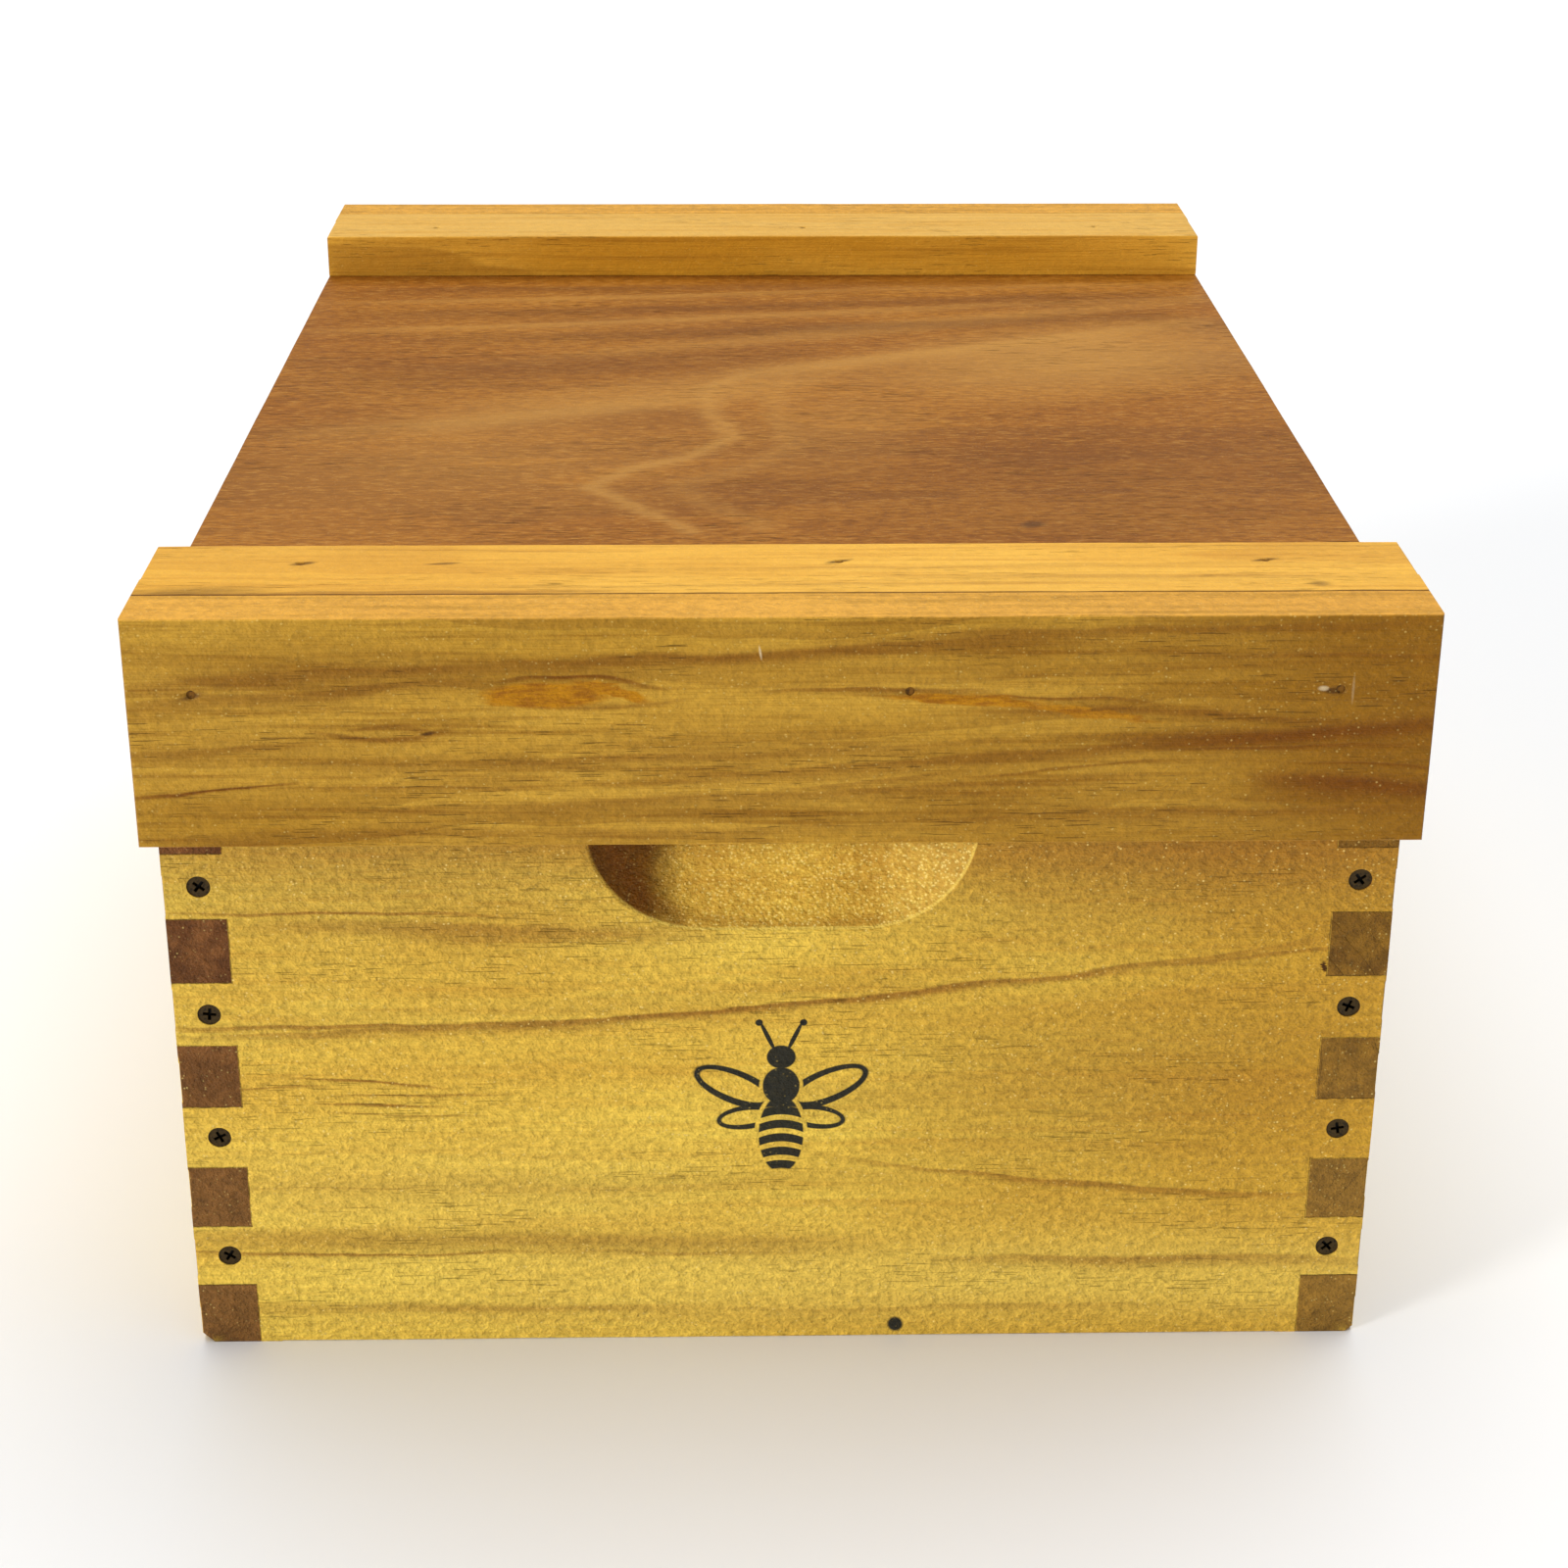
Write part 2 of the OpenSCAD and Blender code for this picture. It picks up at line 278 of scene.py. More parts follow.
class Board:
    """Where a point of a board is in the row frame: s along the grain, a across it, d through the board.

    All three are in millimetres. end and edge are masks of the board's end grain and its narrow faces, and
    facing is how far a face looks along the grain. ps, pa and pd are the same place moved by the board's
    seed, to take noise from.
    """

    def __init__(self, net, grain, across, seed):
        self.net = net
        coords = net.add("ShaderNodeTexCoord")
        place = net.split(Value(net, coords.outputs["Object"]))
        normal = net.split(Value(net, coords.outputs["Normal"]))
        depth = next(axis for axis in AXES if axis not in (grain, across))
        self.s, self.a, self.d = (place[AXES.index(axis)] / MM for axis in (grain, across, depth))
        self.ps = self.s + seed * 613.0
        self.pa = self.a + seed * 211.0
        self.pd = self.d + seed * 97.0
        self.facing = normal[AXES.index(grain)]
        self.end = net.smooth(abs(self.facing), 0.6, 0.85)
        self.edge = net.smooth(abs(normal[AXES.index(across)]), 0.6, 0.85)

    def stretched(self, lengthwise, sideways):
        """The place to take a pattern from that repeats so many times in a millimetre, along and across."""
        return self.net.vector(self.ps * lengthwise, self.pa * sideways, self.pd * sideways)

    def noise(self, lengthwise, sideways, **settings):
        return self.net.noise(self.stretched(lengthwise, sideways), **settings)

    def cells(self, lengthwise, sideways):
        return self.net.cells(self.stretched(lengthwise, sideways))


class Grain:
    """The fine patterns of a board. short is over 1 for shorter fibres."""

    def __init__(self, board, short):
        net = board.net
        self.fibre = board.noise(0.03 * short, 1.6, detail=4.0, roughness=0.65)
        self.strand = board.noise(0.011, 0.28, detail=3.0, roughness=0.6)
        self.patch = board.noise(0.006, 0.017, detail=2.0, roughness=0.6)
        dash = board.noise(0.07, 1.9, detail=1.0)
        cluster = board.noise(0.012, 0.04, detail=1.0)
        self.pores = net.smooth(dash, 0.66, 0.74) * net.smooth(cluster, 0.48, 0.62)
        # Shake and fray move the listed marks by a few millimetres, so that they don't look drawn.
        self.shake = (board.noise(0.02, 0.05, detail=3.0) - 0.5) * 7.0
        self.fray = (self.strand - 0.5) * 2.2


def ring_pattern(board, pith, spacing, warp, lean, taper):
    """Late wood from 0 to 1 by distance from the pith, pushed about by waves, and the same made uneven."""
    net = board.net
    slow = board.noise(0.0045, 0.022, detail=2.5)
    wave = board.noise(0.016, 0.05, detail=2.0)
    da = board.a - pith[0] + board.s * lean
    dd = board.d - pith[1]
    radius = net.math("SQRT", da * da + dd * dd) + board.s * taper
    phase = (radius + (slow - 0.5) * (warp * 6) + (wave - 0.5) * warp) / spacing
    count = net.math("FLOOR", phase)
    ring = phase - count
    late = net.smooth(ring, 0.35, 0.92) * net.smooth(ring, 1.0, 0.95)
    vary = net.noise(net.vector(board.ps * 0.003, count * 3.7, 0.0), detail=1.0)
    return late, late * (0.35 + net.smooth(vary, 0.35, 0.62) * 0.65)


def plain_colour(board, grain, look, rings, shade):
    """A long-grain face without the listed marks."""
    net = board.net
    colour = net.mix(net.smooth(grain.patch, 0.34, 0.68), tone(look["light"]), tone(look["mid"]))
    # Painted shade: a darker tone that comes in along the board, where less of the light reaches it.
    if shade:
        start, stop, strength = shade
        falloff_shade = net.smooth(board.s + (grain.patch - 0.5) * 260, start, stop)
        colour = net.mix(falloff_shade * strength, colour, tone(look["shade"]))
    colour = net.mix(rings, colour, tone(look["ring"]))
    strands = net.smooth(grain.strand, 0.45, 0.75) * look.get("strands", 0.35)
    colour = net.mix(strands, colour, tone(look["ring"]))
    fibres = net.smooth(grain.fibre, 0.45, 0.72) * look.get("fibres", 0.4)
    colour = net.mix(fibres, colour, tone(look["fibre"]))
    if "fuzz" in look:
        fuzz = board.noise(0.2, 0.75, detail=2.5, roughness=0.6)
        colour = net.mix(net.smooth(fuzz, 0.48, 0.64) * look["fuzz"], colour, tone(look["ring"]))
        colour = net.mix(net.smooth(fuzz, 0.46, 0.32) * (look["fuzz"] * 0.8), colour, tone(look["pale"]))
    return colour


def marked_colour(board, grain, look, colour, lines, glow, pale, figure, spots):
    """The listed marks and the pores, over a plain face. lines is the mask of the dark streaks, and on the
    front also of the painted shadow under the lid's rim.
    """
    net, s, a = board.net, board.s, board.a
    shake = grain.shake
    stray = grain.fibre - 0.5
    layers = [
        (masked(net, SPOT, s + shake * 4 + stray * 30, a + shake * 2 + grain.fray, glow), "pale"),
        (masked(net, STREAK, s, a + shake + grain.fray, pale), "pale"),
        (masked(net, SEGMENT, s + shake * 2 + stray * 22, a + shake * 1.5 + grain.fray, figure), "pale"),
        (lines, "line"),
        (grain.pores * look.get("pores", 0.5), "pore"),
        (masked(net, SPOT, s + stray * 4, a + (grain.strand - 0.5) * 3, spots), "spot"),
    ]
    for mask, key in layers:
        if isinstance(mask, Value):
            colour = net.mix(mask, colour, tone(look[key]))
    return colour


def end_colour(board, look, late):
    """End grain soaks up wax: darker, with the same rings as arcs and fine open cells."""
    net = board.net
    patch = board.noise(0.01, 0.09, detail=2.0)
    open_cells = board.noise(0.2, 2.6, detail=3.0, roughness=0.7)
    colour = net.mix(net.smooth(patch, 0.3, 0.7), tone(look["end"]), tone(look["end_dark"]))
    colour = net.mix(late * 0.35, colour, tone(look["end_dark"]))
    colour = net.mix(net.smooth(open_cells, 0.55, 0.8) * 0.5, colour, tone(look["end_fleck"]))
    if "end_low" in look:
        colour = net.mix(net.smooth(board.a, 175, 20) * 0.6, colour, tone(look["end_low"]))
    return colour


def joint_lines(board, reach, finger, first):
    """The thin dark gaps of a box joint, at both ends of a board."""
    net = board.net
    half_gap = 0.42
    level = board.a / finger
    nearest = abs(level - net.math("ROUND", level)) * finger
    row = net.math("PINGPONG", net.math("FLOOR", level) + first, 1.0)
    past = abs(board.s) - reach
    steps = net.smooth(nearest, half_gap, 0.1) * net.smooth(past, -half_gap, -0.2)
    stops = net.smooth(abs(past), half_gap, 0.1) * (1 - row)
    worn = net.noise(net.vector(board.s * 0.3, board.a * 0.3, 0.0), detail=2.0)
    return net.math("MAXIMUM", steps, stops) * net.smooth(worn, 0.3, 0.6) * 0.75


def painted_glints(board, thick):
    """Painted highlights that stand for wax crystals catching the light: here and there on the faces, and
    everywhere in a handhold.
    """
    net = board.net
    crystal = board.cells(0.55, 0.62)
    lucky = board.noise(0.6, 0.6, detail=1.0)
    share = board.noise(0.15, 0.15, detail=1.0)
    spread = net.math("MAXIMUM", net.smooth(share, 0.3, 0.66), thick)
    return net.smooth(crystal, 0.32, 0.06) * net.smooth(lucky, 0.46, 0.58) * spread * (1 - board.end * 0.4)


def handhold_depth(board, face):
    """How far a point lies below the outer face, and a mask that is 1 on the handhold's surface."""
    net = board.net
    depth = face - abs(board.d)
    within = net.smooth(abs(board.s), SCOOP_HALF + 2, SCOOP_HALF - 2)
    return depth, net.smooth(depth, 0.2, 0.9) * net.smooth(depth, 15.0, 14.0) * within


def shaded_handhold(board, grain, look, colour, thick):
    """Painted shade in the handhold: deep on the end wall that faces one way along the grain, slight on the
    steep part of the other end wall, and under its top edge. Growth-ring arcs cross it, and the walls that
    face the other way get painted light. Returns the painted shade mask as well.
    """
    net = board.net
    # Painted shade on the end wall that faces away from the light, and under the handhold's top edge.
    wall_shade = net.smooth(board.facing, 0.02, 0.34) * 1.05 + net.smooth(board.facing, -0.3, -0.55) * 0.22
    roof_shade = net.smooth(board.a, SCOOP_TOP - 18, SCOOP_TOP - 2) * 0.4
    painted_shade = net.math("MINIMUM", wall_shade + roof_shade, 0.96) * thick
    arcs = masked(net, SEGMENT, board.s + grain.shake * 0.5, board.a + grain.fray, SCOOP_ARCS)
    colour = net.mix(painted_shade, colour, tone(look["handhold_shade"]))
    colour = net.mix(arcs * thick, colour, tone(look["arc"]))
    # Painted light on the walls that face the light.
    sunlit = net.smooth(board.facing, 0.05, -0.3) * thick * 0.45
    return net.mix(sunlit, colour, tone(look["pale"])), painted_shade


def handhold_powder_and_highlights(board, look, colour, depth, thick):
    """Grains of wax on the handhold's surface, as dark specks outside its painted shade and as painted glints
    that are brighter away from the shaded wall, and a painted highlight along its lip.
    """
    net = board.net
    powder = board.cells(0.7, 0.85)
    unshaded = net.smooth(board.facing, 0.2, -0.05)
    colour = net.mix(net.smooth(powder, 0.3, 0.6) * thick * unshaded * 0.5, colour, tone(look["ring"]))
    # Painted glints, stronger on the walls that face the light.
    shine = 0.95 - net.smooth(board.facing, -0.1, 0.3) * 0.9
    colour = net.mix(net.smooth(powder, 0.36, 0.1) * thick * shine, colour, tone(look["glint"]))
    within = net.smooth(abs(board.s), SCOOP_HALF + 4, SCOOP_HALF + 2)
    # Painted highlight: a pale band along the lip, left off the shaded wall.
    lip_highlight = net.smooth(depth, 0.1, 0.3) * net.smooth(depth, 0.9, 0.5) * within
    return net.mix(lip_highlight * net.smooth(board.facing, 0.5, 0.1) * 0.6, colour, tone(look["pale"]))


def wood(name, look, grain, across, seed, pith, spacing, warp, ring_depth=0.5, streaks=(), pale=(), figure=(),
         glow=(), spots=(), ink=None, shade=None, pebble=1.0, lean=0.0, taper=0.0, scoop=None, seam=None):
    """Waxed wood cut from a log: rings, fibres, pores, listed marks, end grain and a waxy skin.

    look holds display colours and strengths. grain and across are axes. pith is the log's centre, (a, d), in
    millimetres of the row frame, and taper is how fast the log narrows, which draws the rings out into
    arches. Streaks and spots darken. Pale streaks, figure segments and glow spots lighten.
    ink(net, s, a) returns a mask of print for the outer face. shade is (start, end, strength) of painted
    shade: a darker tone that comes in along the board, where less light falls. scoop is how far the outer
    face of a board with a handhold is from the middle of the box, in millimetres; it also places the
    handhold's painted shade and highlights. seam is where its box joint is: (distance of the joint from the
    middle, finger height, 0 or 1 for the first finger of the other board).
    """
    material, net, shader = new_material(name)
    board = Board(net, grain, across, seed)
    fine = Grain(board, look.get("short", 1.0))
    late, rings = ring_pattern(board, pith, spacing, warp, lean, taper)
    lines = masked(net, STREAK, board.s, board.a + fine.shake + fine.fray, streaks)
    colour = plain_colour(board, fine, look, rings * ring_depth, shade)
    colour = marked_colour(board, fine, look, colour, lines, glow, pale, figure, spots)
    colour = net.mix(board.end, colour, end_colour(board, look, late))
    # Painted light: the narrow top and bottom faces of the rims and the rear batten get a lighter tone than
    # their fronts, as on a face that catches light from above.
    if "edge" in look:
        lit = net.mix(net.smooth(fine.strand, 0.4, 0.75) * 0.6, tone(look["edge"]), tone(look["mid"]))
        colour = net.mix(board.edge * 0.8, colour, lit)
    if seam:
        colour = net.mix(joint_lines(board, *seam), colour, tone(SEAM_TONE))

    # Wax: a pebbled skin, its lumps painted lighter and its hollows darker as painted light and shade, with
    # painted glints where its crystals would catch the light.
    lumps = board.noise(0.3, 0.36, detail=2.5, roughness=0.6)
    beads = board.noise(0.9, 1.05, detail=1.5, roughness=0.5)
    depth, thick = handhold_depth(board, scoop) if scoop else (None, 0.0)
    glints = painted_glints(board, thick) * look.get("glints", 0.85)
    if scoop:
        # Painted shade and painted light in the handhold, with fewer glints in its shade.
        colour, painted_shade = shaded_handhold(board, fine, look, colour, thick)
        glints = glints * (1 - painted_shade * 0.8)
    # Painted light and shade on the wax skin: the colour is lighter on its lumps and darker in its hollows,
    # from the same noise that raises them in the bump.
    relief = 1 + ((lumps - 0.5) * 1.1 + (beads - 0.5) * 0.45) * pebble
    colour = net.mix(1.0, colour, net.vector(relief, relief, relief), "MULTIPLY")
    # Painted glints: small bright spots in the colour, as highlights on wax crystals.
    colour = net.mix(glints, colour, tone(look["glint"]))
    if scoop:
        colour = handhold_powder_and_highlights(board, look, colour, depth, thick)
    if ink:
        outer = net.smooth(abs(board.d), scoop - 2.0, scoop - 1.0)
        # The painted glints show through the print as well.
        printed = ink(net, board.s, board.a) * outer * (1 - board.end) * (0.97 - glints * 0.35)
        colour = net.mix(printed, colour, tone(INK_TONE))
    net.put(colour, shader.inputs["Base Color"])

    rough = 0.46 + (fine.patch - 0.5) * 0.2 + (beads - 0.5) * 0.25 - glints * 0.25
    net.put(rough + board.end * 0.1, shader.inputs["Roughness"])
    shader.inputs["Specular IOR Level"].default_value = WAX_SHEEN
    skin = (lumps * 0.5 + beads * 0.2) * pebble
    height = skin + fine.fibre * 0.12 + rings * 0.08 - lines * 0.1 - fine.pores * 0.25
    add_bump(net, shader, height, WAX_RELIEF)
    return material


PINE = dict(light="#efcc52", mid="#e0b644", shade="#c6962a", ring="#c28c2c", fibre="#cf9e38", line="#87541a",
            pale="#f4d766", pore="#6a4212", spot="#4c2a00", handhold_shade="#643a00", arc="#6e3f0a", end="#8d5f2e",
            end_dark="#6c4420", end_fleck="#a97c48", glint="#f8dc84", pores=0.16)
REDDISH_END = dict(PINE, end="#7e4f26", end_dark="#5c3414", end_fleck="#b08460", end_low="#8c6430")
OLIVE_END = dict(PINE, end="#8a621c", end_dark="#664412", end_fleck="#a88438", end_low="#a47c34")
RIM = dict(PINE, light="#c99b36", mid="#ac7e20", shade="#8a5c0c", ring="#84560a", fibre="#98680f",
           line="#744202", spot="#4a2a08", edge="#e0a440", strands=0.75, glints=0.35, pores=0.5)
BATTEN = dict(PINE, light="#ecb648", mid="#dfa63c", ring="#bd8028", fibre="#cb9030", line="#7c4a16",
              spot="#4a2c0c", strands=0.5, glints=0.2)
REAR_BATTEN = dict(BATTEN, light="#e0a638", mid="#d09426", ring="#a06a18", fibre="#b47a20", edge="#dcb058")
RAIL = dict(PINE, light="#d8ae5e", mid="#c89c4c", ring="#a97b36", fibre="#b98a40", glints=0.2)
BARE = dict(PINE, light="#e9cf9c", mid="#dfc08a", ring="#c79a5c", fibre="#d2ab70", pore="#8a6234",
            end="#cfa870", end_dark="#b58a52", end_fleck="#dcbc88", glints=0.0)
VENEER = dict(light="#a96c1a", mid="#9a5e15", ring="#70400e", fibre="#6e3f0e", line="#653809",
              pale="#c08c40", pore="#4c2a0c", spot="#43250d", end="#b08048", end_dark="#5c3a1c",
              end_fleck="#c09058", glint="#d8a864", glints=0.3, short=4.0, fibres=0.45, pores=0.6, fuzz=0.55)


# ---------- marks on each board, in millimetres of the row frame ----------
# s runs along the grain and a across it. A streak is (s of its middle, half length, a, slope, bow, softness
# above, softness below, strength). A spot is (s, a, half length, half width, turn, edge, strength).

FRONT_STREAKS_AND_SHADOW = [
    (-10, 225, 136, 20, 9, 0.7, 2.2, 0.8),
    (-10, 225, 141, 20, 9, 5.0, 3.0, 0.2),
    (-140, 90, 129, 0, 0, 0.6, 1.2, 0.75),
    (150, 80, 153, 8, 0, 0.6, 1.4, 0.6),
    (-150, 66, 173, -1, 0, 0.6, 1.0, 0.8),
    (-105, 90, 167, -2, 0, 2.6, 4.6, 0.62),
    (-100, 50, 163, -2, 0, 0.5, 1.0, 0.5),
    (105, 95, 64, -10, 3, 0.6, 1.8, 0.65),
    (-90, 130, 42, -2, 0, 3.2, 4.5, 0.5),
    (-150, 75, 37, 0, 0, 0.5, 0.9, 0.75),
    (-40, 60, 37, 0, 0, 0.5, 1.5, 0.5),
    (130, 80, 32, 0, 0, 1.0, 3.0, 0.6),
    (-110, 90, 14, -1, 0, 1.5, 3.0, 0.4),
    (60, 90, 12, 0, 0, 0.6, 1.5, 0.3),
    (90, 120, 104, 10, 2, 5.0, 9.0, 0.3),
    (-60, 150, 66, 2, 0, 4.0, 6.0, 0.25),
    (-150, 60, 64, 1, 0, 0.4, 0.7, 0.45),
    (-141, 28, 107, -2, 0, 0.35, 0.6, 0.8),
    (-138, 24, 98, 0, 0, 0.35, 0.6, 0.8),
    (-176, 22, 105, 0, 0, 0.3, 0.5, 0.6),
    (-124, 34, 102, 1, 0, 0.3, 0.5, 0.6),
    (-130, 30, 94, -1, 0, 0.3, 0.5, 0.5),
    (80, 40, 120, 2, 0, 0.4, 0.7, 0.4),
    (150, 45, 92, -2, 0, 0.5, 1.0, 0.45),
    # Painted shadow: these two wide soft bands darken the top of the front, under the lid's rim.
    (-130, 130, 205, 0, 0, 12.0, 32.0, 0.62),
    (140, 130, 205, 0, 0, 12.0, 36.0, 0.72),
    (130, 110, 108, 8, 0, 34.0, 38.0, 0.34),
]
FRONT_PALE = [
    (60, 260, 22, 0, 0, 22.0, 16.0, 0.5),
    (-120, 110, 60, 0, 0, 20.0, 16.0, 0.3),
]
FRONT_KNOT = [(41.2, 5.0, 2.7, 3.1, 0.2, 0.35, 1.0)]
FRONT_PITS = [(184.8, 149.8, 0.9, 2.0, 0.2, 0.4, 1.0), (189.5, 195.8, 1.7, 0.7, 0.0, 0.4, 1.0)]

SCOOP_ARCS = (
    path([(-57, 200), (-55, 188), (-47, 176), (-34, 169)], 3.0, 0.6)
    + path([(-30, 169), (0, 166.5), (34, 168)], 1.4, 0.4)
    + path([(40, 199), (52, 193), (60, 184), (64, 177)], 2.4, 0.6)
)

RIM_STREAKS = [
    (-130, 100, 270, 5, -1, 1.4, 3.6, 0.6),
    (0, 150, 276, 9, 1, 1.2, 3.4, 0.7),
    (110, 105, 283, 3, -1, 1.0, 2.0, 0.55),
    (170, 60, 274, -1, 2, 0.7, 1.6, 0.5),
    (-150, 75, 263, 5, 0, 1.2, 3.4, 0.6),
    (-66, 30, 267.4, -1, -3, 0.5, 0.8, 0.95),
    (-58, 30, 257.4, 1, 2, 0.5, 0.7, 0.5),
    (30, 40, 263, 0, -1, 0.6, 1.2, 0.75),
    (70, 55, 260.4, -2, -1, 0.4, 0.8, 0.8),
    (130, 75, 255, -3, -2, 0.8, 1.8, 0.6),
    (165, 66, 248, 4, 0, 2.4, 3.6, 1.0),
    (150, 60, 243, 1, 0, 0.5, 1.4, 0.8),
    (188, 40, 229, -2, 0, 2.4, 3.8, 1.0),
    (190, 30, 236, -1, 0, 0.4, 0.8, 0.7),
    (70, 130, 240, 11, 2, 1.2, 3.6, 0.6),
    (-40, 120, 240, 5, 1, 1.0, 2.8, 0.55),
    (-10, 60, 241, 2, -2, 6.0, 6.0, 0.35),
    (-10, 130, 226, 6, 1, 1.2, 3.4, 0.5),
    (-183, 30, 228, 2, 0, 0.35, 0.6, 1.0),
    (-120, 50, 229, 1, 0, 0.5, 1.2, 0.5),
    (-128, 24, 247, 0, 4, 0.8, 1.4, 0.75),
    (-126, 14, 252, 0, -2, 0.6, 1.2, 0.6),
    (-180, 35, 244, 2, -1, 0.8, 2.2, 0.45),
    (-90, 50, 238, 2, 0, 0.5, 1.4, 0.5),
    (30, 40, 231, 4, 0, 0.5, 1.6, 0.45),
    (120, 90, 219, 2, 0, 1.2, 2.6, 0.5),
    (-60, 150, 214, 1, 0, 1.0, 2.6, 0.35),
    (90, 40, 235, 4, 0, 0.4, 0.7, 0.6),
]
RIM_SPOTS = [
    (-187, 262, 3.4, 1.1, 0.3, 0.8, 0.7),
    (40, 262.6, 2.6, 1.0, 0.3, 0.8, 0.5),
    (175, 262, 3.4, 1.2, 0.0, 0.8, 0.75),
    (-113, 249, 2.2, 0.8, 0.2, 0.8, 0.8),
]
RIM_SCARS = [
    (-7.5, 276, 0.35, 2.2, 0.15, 0.7, 0.6),
    (181, 262.5, 0.4, 4.5, 0.0, 0.8, 0.18),
    (171.5, 262.8, 1.5, 0.8, 0.0, 0.8, 0.6),
]
AMBER_SPOTS = [
    (-76, 261.5, 19, 4.4, 0.0, 0.3, 1.0),
    (-54, 263, 13, 2.4, -0.22, 0.3, 1.0),
    (60, 259.2, 24, 1.9, -0.06, 0.4, 0.95),
    (95, 255, 24, 1.2, -0.15, 0.5, 0.8),
]

BATTEN_STREAKS = [
    (-140, 90, -252, 2, 0, 1.0, 3.0, 0.5),
    (-100, 60, -214, -2, 0, 0.4, 1.0, 0.35),
    (60, 150, -230, 2, 0, 1.0, 2.0, 0.22),
    (120, 90, -240, -1, 0, 1.5, 3.0, 0.3),
    (-10, 120, -246, 1, 0, 0.7, 1.5, 0.3),
    (150, 60, -212, 1, 0, 0.4, 1.6, 0.3),
]
BATTEN_SPOTS = [
    (-157, -225.5, 4.0, 1.4, 0.3, 0.8, 0.75),
    (19, -225.5, 4.2, 1.2, 0.4, 0.8, 0.8),
    (160, -225.5, 4.2, 1.2, 0.3, 0.8, 0.75),
    (-111, -226, 5.0, 0.7, 0.1, 0.8, 0.6),
    (174, -247, 3.0, 2.0, 0.0, 1.0, 0.5),
    (-190, -251, 20, 4.0, 0.1, 1.2, 0.45),
]

PANEL_PALE = [
    (-90, 110, -5, 28, 0, 5.0, 8.0, 0.3),
    (100, 110, 92, 42, 0, 4.0, 7.0, 0.45),
    (-40, 175, 134, 24, 6, 2.0, 6.0, 0.45),
    (-60, 150, 172, 14, 4, 2.0, 5.0, 0.4),
    (130, 90, 190, 8, 0, 2.0, 5.0, 0.3),
    (60, 160, 150, 20, 4, 1.5, 4.0, 0.3),
]
PANEL_DARK = [
    (60, 130, -90, 10, 0, 30.0, 30.0, 0.3),
    (-90, 120, 60, 26, 0, 14.0, 22.0, 0.35),
    (20, 180, 118, 22, 6, 5.0, 10.0, 0.5),
    (0, 200, 155, 18, 4, 4.0, 8.0, 0.45),
    (10, 200, 192, 10, 2, 3.0, 8.0, 0.4),
    (120, 120, -90, 12, 0, 40.0, 60.0, 0.35),
    (0, 205, 208, 2, 0, 6.0, 6.0, 0.4),
]
PANEL_FIGURE = (
    path([(-33, -145), (-51, -119), (-70, -97), (-56, -76), (-34, -62), (-17, -38)], 3.4, 0.6)
    + path([(-17, -38), (-24, -6), (-27, 27), (-10, 48)], 4.5, 0.5)
    + path([(-10, 48), (40, 66), (94, 85), (150, 100)], 9.0, 0.32)
    + path([(-136, -25), (-75, 0), (6, 34)], 9.0, 0.3)
    + path([(-6, -140), (-30, -108), (-34, -92), (-8, -72), (8, -44), (2, -8), (2, 24), (20, 40)], 5.0, 0.25)
)
PANEL_GLOW = [
    (-130, -70, 80, 60, 0.5, 1.6, 0.25),
    (-60, 20, 120, 16, 0.36, 1.2, 0.3),
    (135, 70, 75, 38, 0.35, 1.3, 0.6),
    (30, -20, 26, 50, -0.3, 1.4, 0.2),
    (60, 120, 150, 9, 0.3, 1.0, 0.35),
]
PANEL_SPOTS = [(93, -138, 4.5, 3.0, 0.3, 0.8, 0.6)]


# ---------- camera, light and floor ----------

def add_object(name, data):
    """A new object in the scene."""
    made = bpy.data.objects.new(name, data)
    bpy.context.scene.collection.objects.link(made)
    return made


def add_camera():
    """Stands in front of the box a little left of its middle, looking down at it."""
    place = Vector((-17.1, -1063.8, 609.9)) * MM
    pitch, yaw, roll = 0.3791, 0.0215, -0.0038
    data = bpy.data.cameras.new("camera")
    data.sensor_width = 36.0
    data.lens = 62.55
    data.shift_y = -0.12
    data.clip_start = 0.01
    camera = add_object("camera", data)
    aim = (Matrix.Rotation(-yaw, 4, "Z") @ Matrix.Rotation(math.pi / 2 - pitch, 4, "X")
           @ Matrix.Rotation(-roll, 4, "Z"))
    camera.matrix_world = Matrix.Translation(place) @ aim
    bpy.context.scene.camera = camera


def add_sun(name, towards, angle, power, colour):
    """Light from the direction given, the same all over the floor. angle is how soft it is, in degrees."""
    data = bpy.data.lights.new(name, "SUN")
    data.angle = math.radians(angle)
    data.energy = power
    data.color = colour
    add_object(name, data).rotation_euler = Vector(towards).to_track_quat("Z", "Y").to_euler()


def add_studio():
    """A broad light from above and a low one from the left, which brings out the relief."""
    add_sun("overhead", (0.1, 0.25, 1.0), 70, 2.75, (1.0, 0.99, 0.97))
    add_sun("key", (-0.83, -0.5, 0.22), 14, 2.1, (1.0, 0.98, 0.94))
    world = bpy.data.worlds.new("studio")
    world.use_nodes = True
    sky = world.node_tree.nodes["Background"]
    sky.inputs["Color"].default_value = (1.0, 1.0, 1.0, 1.0)
    sky.inputs["Strength"].default_value = 0.3
    scene = bpy.context.scene
    scene.world = world
    scene.view_settings.view_transform = "Standard"


def add_floor():
    """A pale floor that reaches further than any view, in metres."""
    half = 60.0
    mesh = bpy.data.meshes.new("floor")
    corners = [(-half, -half, 0), (half, -half, 0), (half, half, 0), (-half, half, 0)]
    mesh.from_pydata(corners, [], [(0, 1, 2, 3)])
    material, _, shader = new_material("floor")
    shader.inputs["Base Color"].default_value = (0.83, 0.845, 0.87, 1.0)
    shader.inputs["Roughness"].default_value = 0.7
    mesh.materials.append(material)
    floor = add_object("floor", mesh)


# ---------- shaping the boards ----------

